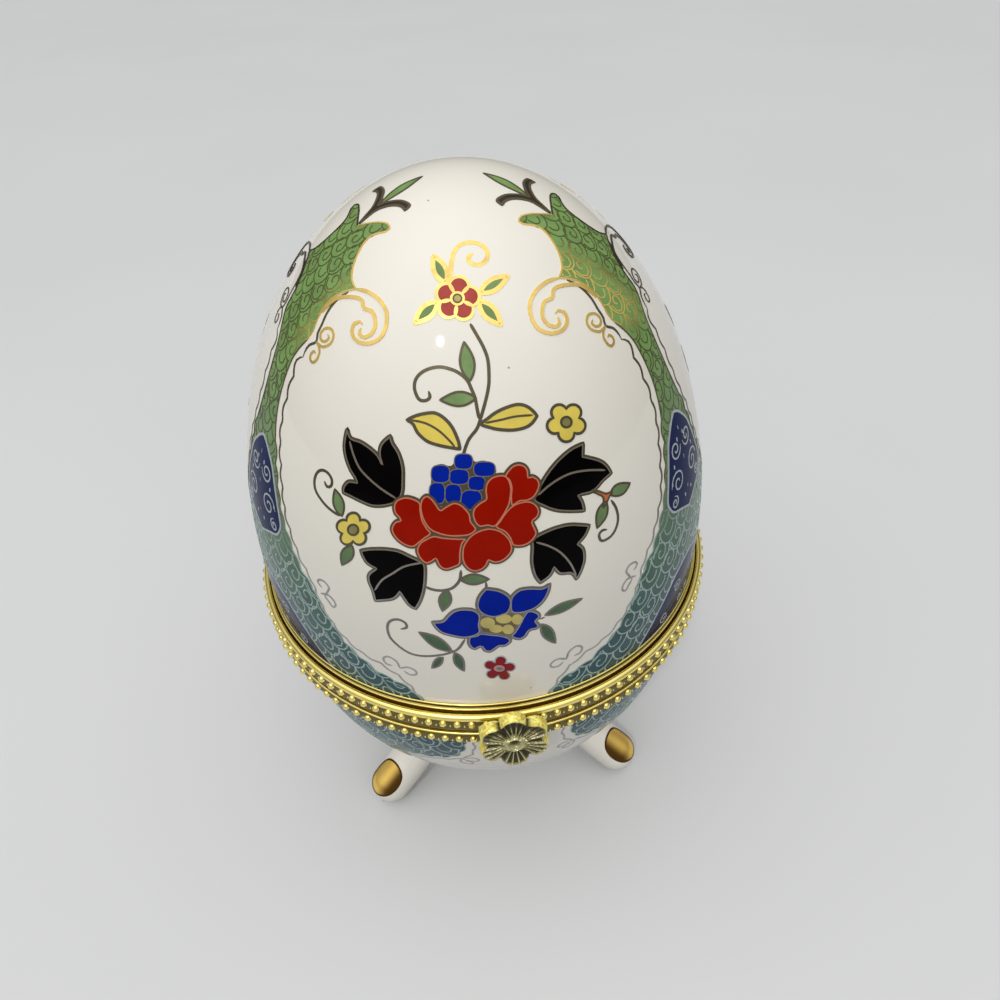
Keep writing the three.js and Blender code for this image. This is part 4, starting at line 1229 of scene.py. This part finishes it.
TOP_FLOWER_LEAVES = [((433.5, 256), (446, 283), 12), ((508, 276), (480, 293), 11),
                     ((501, 325), (479, 301), 12), ((415, 323), (437.5, 302), 12)]
TOP_CURL = [(450.5, 281), (451, 266), (455, 250), (465, 243), (475.5, 243), (484, 247), (487.5, 253),
            (485.5, 261), (478, 265), (470, 262.5), (468.5, 257), (473, 253.5)]
YELLOW_LEAVES = [
    ([(407, 420), (407, 420), (415, 416), (425, 413.5), (435, 413), (444, 418), (452, 427), (458, 440),
      (460, 449), (460, 449), (450, 447.5), (438, 445), (427, 441), (418, 433), (413, 424)],
     [(411, 420), (425, 423), (438, 430), (449, 440), (455, 447)]),
    ([(481, 424), (487, 419), (495, 413), (505, 408), (517, 404.5), (526, 406), (533, 411), (537, 416),
      (537, 416), (532, 423), (525, 427.5), (513, 430), (500, 429.5), (490, 427.5)],
     [(485, 423), (500, 420), (515, 416.5), (533, 415)]),
]
YELLOW_FLOWERS = [((566, 422), 11.8, 7.9, 90), ((353.5, 529.5), 10.2, 6.7, -90)]
YELLOW_CORE = 5.2
GREEN_LEAVES = [((464, 342), (470, 381), 14), ((440, 400), (476, 398), 14), ((335, 489), (342, 516), 10),
                ((342, 565), (352, 545), 12), ((630, 483), (610, 495), 11), ((597, 528), (606, 501), 10),
                ((489, 579), (460.5, 579.5), 10), ((442.5, 611), (447.5, 590), 12),
                ((582, 598.5), (545, 615), 8), ((555.5, 643), (541, 624), 11),
                ((419, 632), (452, 651), 10), ((464, 671), (454.5, 652.5), 9),
                ((432, 668), (443, 657), 7)]
STEMS = [
    [(470, 323.5), (477, 335.5), (484, 348.5), (488, 361), (489, 378), (488, 390), (485, 403), (481, 417),
     (477, 428.5), (468.5, 440), (462.8, 456)],
    [(479, 419), (477, 408), (475, 398), (471, 388), (467, 380), (459, 373), (450, 369), (440, 367),
     (430, 368.5), (421, 373), (415.5, 380), (414.5, 388), (416.5, 395), (420, 400), (426, 400.5),
     (430, 397), (428.5, 391)],
    [(340, 516), (331, 510), (323, 502), (316, 491), (314.5, 481), (317, 473), (322, 470), (328, 473),
     (332, 480), (331, 486), (327, 486.5), (324.5, 481)],
    [(592, 492), (599, 493), (606, 496)],
    [(611, 500), (616, 508), (618, 518), (616, 528), (611, 536), (604, 540.5), (600.5, 540), (599, 535),
     (602, 530.5), (607, 529.5)],
    [(461, 570), (460, 579), (456, 585), (450, 589), (440, 590.5), (431, 589), (424.5, 586)],
    [(486, 582), (486.5, 589)],
    [(465, 639), (459, 648), (452, 652), (440, 655), (424, 656), (411, 653.5), (400, 647), (390, 637),
     (387.5, 626), (391, 620.5), (398.5, 619.5), (405.5, 623), (406.5, 627.5), (400.5, 629)],
    [(540, 619), (545, 617)],
]
TWIG_KNOT = [(592, 489.5), (600, 491.5), (606, 493.5), (612, 491.5), (609, 496.5), (606.5, 502), (603, 507.5),
             (603.5, 500), (602, 496), (597, 493.5)]
colours |= {
    "red": enamel("red_enamel", (150, 16, 0), (152, 18, 0), 0.94, gloss=0.05),
    "pale_red": enamel("pale_red_enamel", (180, 62, 50)),
    "crimson": enamel("crimson_enamel", (146, 22, 34), gloss=0.1),
    "blue": enamel("royal_blue_enamel", (2, 30, 146), (4, 36, 152), 0.92, gloss=0.04),
    "black": enamel("black_enamel", (6, 4, 4), deeper=0.6, roughness=0.05, gloss=0.03),
    "yellow": enamel("yellow_enamel", (218, 198, 96), (230, 206, 88), 0.94),
    "seed": enamel("seed_enamel", (198, 186, 110), (198, 178, 100)),
    "umber": enamel("umber_enamel", (108, 92, 64)),
    "olive": enamel("olive_enamel", (138, 130, 78)),
    # The leaf green's lower colour is darker, as painted shade.
    "leaf_green": enamel("leaf_green_enamel", (60, 86, 74), (128, 156, 98), gloss=0.1),
    "orange": enamel("orange_enamel", (206, 106, 52)),
    "rose": enamel("rose_enamel", (190, 148, 140)),
    "copper_lines": painted_gilt("copper_lines", (190, 122, 98), (206, 126, 96), (224, 184, 112), 0.3),
    "grey_lines": painted_gilt("grey_lines", (150, 148, 144), (124, 114, 98), (124, 114, 98), 0.3),
}
SPRAY_TURNS = [np.array(Matrix.Rotation(math.radians(angle), 3, "Z")) for angle in (0, 120, 240)]


def spray_leaf(tip, base, width):
    """A pointed leaf outline from its tip, its base and its width."""
    tip, base = np.array(tip, float), np.array(base, float)
    along = base - tip
    side = np.array([-along[1], along[0]]) / np.hypot(*along) * width / 2
    right = [tip + along * share + side * wide for share, wide in LEAF_SWELL]
    left = [tip + along * share - side * wide for share, wide in LEAF_SWELL[::-1]]
    return [tip, tip, *right, base, base, *left]


def cinquefoil(middle, reach, lobe, turn, squash=1.0):
    """A closed outline of five round petals, with one of them at this turn in degrees."""
    turns = all_round(FOIL_POINTS)
    aside = (turns - math.radians(turn) + math.pi / 5) % (math.tau / 5) - math.pi / 5
    out = reach * np.cos(aside) + np.sqrt(np.maximum(lobe ** 2 - (reach * np.sin(aside)) ** 2, 0))
    return around(middle, out, turns, squash)


def cushion(middle, half_wide, half_high):
    """A closed oval, squared off a little."""
    round_line = oval((0, 0), 1, 1)
    return np.sign(round_line) * np.abs(round_line) ** CUSHION_POWER * (half_wide, half_high) + middle


def inset(outline, depth):
    """A closed outline drawn in by this depth."""
    ahead = np.roll(outline, -1, axis=0) - np.roll(outline, 1, axis=0)
    area = (outline[:, 0] * np.roll(outline[:, 1], -1) - outline[:, 1] * np.roll(outline[:, 0], -1)).sum()
    return outline - rightward(ahead) * math.copysign(depth, area)


def in_panels():
    """Lays picture points on the front panel, and turned from there on to the other two."""
    for turn in SPRAY_TURNS:
        yield lambda flat, turn=turn: lid_surface.seen(flat) @ turn.T


def spray_patch(colour, knots, layer, edge=None, width=FINE_LINE):
    """A patch of the bouquet, in all three panels, with a line round it."""
    outline = smooth_line(knots, SPRAY_LINE, closed=True)
    for lay in in_panels():
        lid_painting.fill(colour, outline, lay, layer, SPRAY_FILL)
        if edge:
            lid_painting.stroke(edge, outline, lay, width, layer + 1, closed=True)


def spray_petal(colour, knots, layer, light):
    """A patch of the bouquet on a slightly larger dark one, with a fine light line inside its edge."""
    outline = smooth_line(knots, SPRAY_LINE, closed=True)
    for lay in in_panels():
        lid_painting.stroke("bronze_lines", outline, lay, OUTER_LINE, layer, closed=True)
        lid_painting.fill(colour, outline, lay, layer + 1, SPRAY_FILL)
        lid_painting.stroke(light, inset(outline, INNER_INSET), lay, INNER_LINE, layer + 2, closed=True)


def spray_line(colour, knots, layer, width=FINE_LINE):
    """A line of the bouquet, in all three panels."""
    line = smooth_line(knots, SPRAY_LINE)
    for lay in in_panels():
        lid_painting.stroke(colour, line, lay, width, layer)


for stem in STEMS:
    spray_line("bronze_lines", stem, 1, STEM_LINE)
for sprout in GREEN_LEAVES:
    spray_patch("leaf_green", spray_leaf(*sprout), 1, "bronze_lines", LEAF_LINE)
for outline, vein in DARK_LEAVES:
    spray_petal("black", outline, 1, "grey_lines")
    spray_line("grey_lines", vein, 3, FINE_LINE)
for outline, vein in YELLOW_LEAVES:
    spray_patch("yellow", outline, 1, "bronze_lines", STEM_LINE)
    spray_line("bronze_lines", vein, 2, FINE_LINE)
spray_patch("bronze_lines", BERRY_GROUND, 1)
for berry in BERRIES:
    spray_patch("blue", cushion(*berry), 2, "grey_lines", BERRY_LINE)
for petal in PEONY_PETALS:
    spray_petal("red", petal, 4, "copper_lines")
for petal in BLUE_PETALS:
    spray_petal("blue", petal, 2, "grey_lines")
spray_patch("umber", BLUE_MIDDLE, 2)
for seed in BLUE_SEEDS:
    spray_patch("seed", oval(*seed, count=14), 3)
spray_patch("crimson", cinquefoil(*LOW_FLOWER), 2, "pale_lines", LOW_FLOWER_LINE)
spray_patch("rose", oval(*LOW_FLOWER_MIDDLE, count=12), 3)
spray_patch("bronze_lines", oval(*LOW_FLOWER_EYE, count=10), 4)
for sprout in TOP_FLOWER_LEAVES:
    spray_patch("leaf_green", spray_leaf(*sprout), 1, "gilt_lines", GOLD_LINE)
spray_line("gilt_lines", TOP_CURL, 1, GOLD_LINE)
spray_patch("gilt_lines", cinquefoil(*TOP_FLOWER_GILT), 3)
spray_patch("pale_red", cinquefoil(*TOP_FLOWER_RED), 4)
for turn in np.radians(TOP_FLOWER_RED[3] + 36 + np.arange(5) * 72):
    spoke = np.outer(TOP_FLOWER_SPOKE, (math.cos(turn), math.sin(turn))) + TOP_FLOWER_RED[0]
    spray_line("gilt_lines", spoke, 5, SPOKE_LINE)
spray_patch("gilt_lines", oval(*TOP_FLOWER_RING), 6)
spray_patch("seed", oval(*TOP_FLOWER_CORE), 7, "bronze_lines", INNER_LINE)
for flower in YELLOW_FLOWERS:
    spray_patch("yellow", cinquefoil(*flower), 2, "bronze_lines", FLOWER_LINE)
    spray_patch("olive", oval(flower[0], YELLOW_CORE, YELLOW_CORE), 3, "bronze_lines", LEAF_LINE)
spray_patch("orange", TWIG_KNOT, 2, "bronze_lines", FINE_LINE)
lid_painting.set_pieces("lid", colours)

# Lid collar: a spun brass ring like the bowl's, with two fine rolled lines, a cove and a half-round ridge.
# The cove between the lines and the ridge, the gap between the lines, the web and the flange get brown
# painted shade.
LID_COLLAR_LOW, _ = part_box("lid_collar")
LID_FLANGE_RADIUS = FLANGE_RADIUS - 0.3 * MM
RIDGE_MIDDLE = (37.2 * MM, 62.3 * MM)
RIDGE_RADIUS = 0.6 * MM
COVE = [(36.62 * MM, 62.56 * MM), (36.4 * MM, 62.7 * MM), (36.36 * MM, 62.95 * MM)]
LINE_BEADS = [(36.5 * MM, 63.2 * MM, 0.14 * MM), (36.25 * MM, 63.95 * MM, 0.14 * MM)]
LINE_GAP = [(36.32 * MM, 63.42 * MM), (36.22 * MM, 63.72 * MM)]
bottom = LID_COLLAR_LOW.z
seat = bottom + SEAT_THICK
# Each part's number is how much brown painted shade it gets.
brown_ring("lid_collar_ring", [
    (arc(COLLAR_INNER + edge, bottom + edge, edge, 180, 270, 4), 0.1),
    (arc(LID_FLANGE_RADIUS - edge, bottom + edge, edge, -90, 90), 0.8),
    ([(WEB_RADIUS, bottom + FLANGE_THICK), (WEB_RADIUS, RIDGE_MIDDLE[1] - RIDGE_RADIUS)], 0.9),
    (arc(*RIDGE_MIDDLE, RIDGE_RADIUS, -75, 140, 14), 0),
    (COVE, 1),
    (arc(*LINE_BEADS[0], -60, 120), 0),
    (LINE_GAP, 0.95),
    (arc(*LINE_BEADS[1], -60, 165), 0),
    ([(bare, LINE_BEADS[1][1] - LINE_BEADS[1][2]), (bare, seat), (COLLAR_INNER + COLLAR_LIP, seat)], 0.1),
    ([(COLLAR_INNER + COLLAR_LIP, bottom + LIP_REACH), (COLLAR_INNER, bottom + LIP_REACH)], 0.1),
], "lid", "lid_collar")

# Lid bead strip: brass strip stamped with beads over darts, satin gilt, the same as the bowl's.
# It is wrapped round the lid collar's web and soldered, with a gap behind the clasp.
LID_STRIP_LOW, LID_STRIP_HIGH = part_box("lid_bead_band")
bead_strip("lid", LID_STRIP_LOW.z, LID_STRIP_HIGH.z, LID_BEAD_HEIGHT)

# Clasp flower: a thick cast brass flower of six ribbed petals, gold plated, with painted shade between the
# ribs.
# It is soldered to the tongue, and is the grip for the thumb. It leans out towards its foot.
FLOWER_LOW, FLOWER_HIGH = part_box("clasp_flower")
FLOWER_MIDDLE = (FLOWER_LOW.z + FLOWER_HIGH.z) / 2
FLOWER_THICK = FLOWER_HIGH.y - FLOWER_LOW.y
PETAL_COUNT = 6
PETAL_REACH = 3.25 * MM
PETAL_RADIUS = 1.9 * MM
LOWER_LONGER = 0.12
LEAN = 0.08
FLOWER_TURNS = 360
FLOWER_RINGS = 34
RINGS_CROWD = 0.3
EDGE_POWER = 18
EDGE_FALL = 0.6
FACE_EDGE = (0.9, 0.96)
RIB_COUNT = 30
RIB_EDGE = (0.1, 0.9)
RIB_RISE = 0.7
SCOOP = 0.45 * MM
SCOOP_START = (0.27, 0.4)
SCOOP_END = (0.85, 0.93)
SEAM_WIDTH = 0.09
SEAM_DEPTH = 0.3 * MM
SEAM_START = (0.4, 0.6)
DIMPLE_RADIUS = 1.0 * MM
DIMPLE_DEPTH = 0.5 * MM
DIMPLE_EDGE = (0.35, 1.0)
RING_RADIUS = 1.25 * MM
RING_HEIGHT = 0.2 * MM
RING_WIDTH = 0.2 * MM
UPPER_EDGE = (0.1, 0.5)
SHADE = 0.9
SHADE_START = (0.64, 0.76)
SHADE_END = (0.9, 0.94)


def flower_face(share, turn):
    """Reach from the middle, height of the face and how much painted shade it gets, at a share of the reach.
    """
    petal = math.tau / PETAL_COUNT
    aside = abs((turn - math.pi / 2 + petal / 2) % petal - petal / 2)
    reach = PETAL_REACH * math.cos(aside)
    reach += math.sqrt(max(PETAL_RADIUS ** 2 - (PETAL_REACH * math.sin(aside)) ** 2, 0))
    reach *= 1 + LOWER_LONGER * max(-math.sin(turn), 0)
    out = reach * share
    edge = share ** EDGE_POWER
    flat = FLOWER_THICK * (1 - EDGE_FALL + EDGE_FALL * math.sqrt(max(1 - edge, 0)))
    leaning = LEAN * (PETAL_REACH + PETAL_RADIUS - out * math.sin(turn)) * (1 - edge * EDGE_FALL)
    scooped = smooth_step(*SCOOP_START, share) * (1 - smooth_step(*SCOOP_END, share))
    rib = smooth_step(*RIB_EDGE, math.cos(RIB_COUNT * turn))
    seam = math.exp(-((petal / 2 - aside) / SEAM_WIDTH) ** 2) * smooth_step(*SEAM_START, share)
    ring = math.exp(-((out - RING_RADIUS) / RING_WIDTH) ** 2)
    dimple = 1 - smooth_step(*DIMPLE_EDGE, out / DIMPLE_RADIUS)
    sunk = SCOOP * scooped * (1 - RIB_RISE * rib) + SEAM_DEPTH * seam + DIMPLE_DEPTH * dimple
    upper = smooth_step(*UPPER_EDGE, math.sin(turn))
    shaded = upper * smooth_step(*SHADE_START, share) * (1 - smooth_step(*SHADE_END, share))
    # Painted shade between the ribs, in the seams and the dimple, and a painted shadow under the upper rims.
    hollow = max(scooped * (1 - rib), seam, dimple, SHADE * shaded)
    return out, flat + leaning - sunk + RING_HEIGHT * (ring - 1), hollow


def cast_gilding():
    """Hammered gold plate on a casting: painted highlight on the sides, a face greyed and hollows darkened as
    painted shade.
    """
    gilt = Finish("cast_gilding")
    hollow = gilt.value("hollow")
    face = gilt.value("face")
    hammer = gilt.noise(0.4 * MM, 2)
    grain = gilt.spread(hammer, 0.4, 0.62, "SMOOTHSTEP")
    # Painted highlight on the sides, a lighter lemon copy; the face gets a greyed copy as painted shade.
    side = gilt.mixed(grain, srgb(255, 250, 146), srgb(232, 200, 78))
    greyed = gilt.mixed(hammer, srgb(222, 216, 166), srgb(182, 174, 122))
    return gilt.shade(
        Base_Color=gilt.mixed(hollow * 0.95, gilt.mixed(face, side, greyed), srgb(38, 26, 12)),
        Metallic=0.35 + face * 0.65 - hollow * 0.85,
        Roughness=0.34 - face * 0.14 + hollow * 0.3,
        Specular_IOR_Level=0.2,
        Normal=gilt.bump(hammer, 0.2 * MM, 1.0),
    )


points, hollows, fronts, faces = [], [], [], []
back = FLOWER_HIGH.y
shares = np.linspace(0, 1, FLOWER_RINGS + 1)
shares = shares + RINGS_CROWD * shares * (1 - shares)
for share in shares:
    for turn in all_round(FLOWER_TURNS):
        out, height, hollow = flower_face(share, turn)
        points.append((out * math.cos(turn), back - height, FLOWER_MIDDLE + out * math.sin(turn)))
        hollows.append(hollow)
        fronts.append(1 - smooth_step(*FACE_EDGE, share))
for turn in all_round(FLOWER_TURNS):
    out, _, _ = flower_face(1, turn)
    points.append((out * math.cos(turn), back, FLOWER_MIDDLE + out * math.sin(turn)))
    hollows.append(0)
    fronts.append(0)
for ring in range(FLOWER_RINGS + 1):
    for i in range(FLOWER_TURNS):
        a, b = ring * FLOWER_TURNS + i, ring * FLOWER_TURNS + (i + 1) % FLOWER_TURNS
        faces.append((a, a + FLOWER_TURNS, b + FLOWER_TURNS, b))
last = (FLOWER_RINGS + 1) * FLOWER_TURNS
faces.append(tuple(range(last, last + FLOWER_TURNS))[::-1])
flower = bpy.data.meshes.new("flower")
flower.from_pydata(points, [], faces)
set_values(flower, "hollow", hollows)
set_values(flower, "face", fronts)
work = bmesh.new()
work.from_mesh(flower)
bmesh.ops.remove_doubles(work, verts=work.verts, dist=SAME_POINT)
work.to_mesh(flower)
work.free()
set_mesh("clasp_blossom", flower, cast_gilding(), "lid", ["clasp_flower"])

# The floor and the light: a plain pale table under a wide soft sky, with a small lamp for the glints.
# The table looks pale, and throws less light up under the box than a white one would.
FLOOR_SIZE = 3.0
floor_finish = Finish("pale_floor")
kinds = ("Is Camera Ray", "Is Glossy Ray", "Is Transmission Ray")
shown = sum(floor_finish.node("ShaderNodeLightPath", output=kind) for kind in kinds)
pale = floor_finish.mixed(floor_finish.noise(0.2, 3), srgb(210, 210, 208), srgb(218, 218, 216))
floor_tone = floor_finish.mixed(shown, srgb(122, 123, 127), pale)
floor_material = floor_finish.shade(Base_Color=floor_tone, Roughness=0.6, Specular_IOR_Level=0.2)
floor_mesh = bpy.data.meshes.new("floor")
half = FLOOR_SIZE / 2
corners = [(-half, -half, 0), (half, -half, 0), (half, half, 0), (-half, half, 0)]
floor_mesh.from_pydata(corners, [], [(0, 1, 2, 3)])
floor_mesh.materials.append(floor_material)
floor = bpy.data.objects.new("floor", floor_mesh)
scene.collection.objects.link(floor)


def lamp(name, place, target, size, power):
    """A round soft lamp that faces its target."""
    light = bpy.data.lights.new(name, "AREA")
    light.shape = "DISK"
    light.size = size
    light.energy = power
    holder = bpy.data.objects.new(name, light)
    holder.location = place
    holder.rotation_euler = (Vector(target) - Vector(place)).to_track_quat("-Z", "Y").to_euler()
    scene.collection.objects.link(holder)


GLINT = (440, 341)
KEY_REACH = 0.8
KEY_SIZE = 0.04
KEY_POWER = 1.0
BRIGHTEST = (-0.1, -0.29, 0.952)
SKY_COLOUR = (0.97, 0.98, 1.0, 1)
SKY_DIM = 0.17
SKY_RISE = 1.6
glint = Vector(lid_surface.seen([GLINT])[0])
mirrored_view = (glint - EYE).normalized().reflect(Vector(lid_surface.normals(np.array([glint]))[0]))
lamp("key", glint + mirrored_view * KEY_REACH, glint, KEY_SIZE, KEY_POWER)
world = bpy.data.worlds.new("room")
world.use_nodes = True
world.node_tree.nodes.clear()
room = NodeTree(world.node_tree)
way = room.node("ShaderNodeTexCoord", output="Generated")
near = room.node("ShaderNodeVectorMath", {"operation": "DOT_PRODUCT"}, {0: way, 1: BRIGHTEST}, output="Value")
near = room.node("ShaderNodeMath", {"operation": "MAXIMUM"}, {0: near, 1: 0.0})
sky = room.node("ShaderNodeBackground", {}, {
    "Color": SKY_COLOUR, "Strength": SKY_DIM + near * near * SKY_RISE})
room.node("ShaderNodeOutputWorld", {}, {"Surface": sky})
scene.world = world
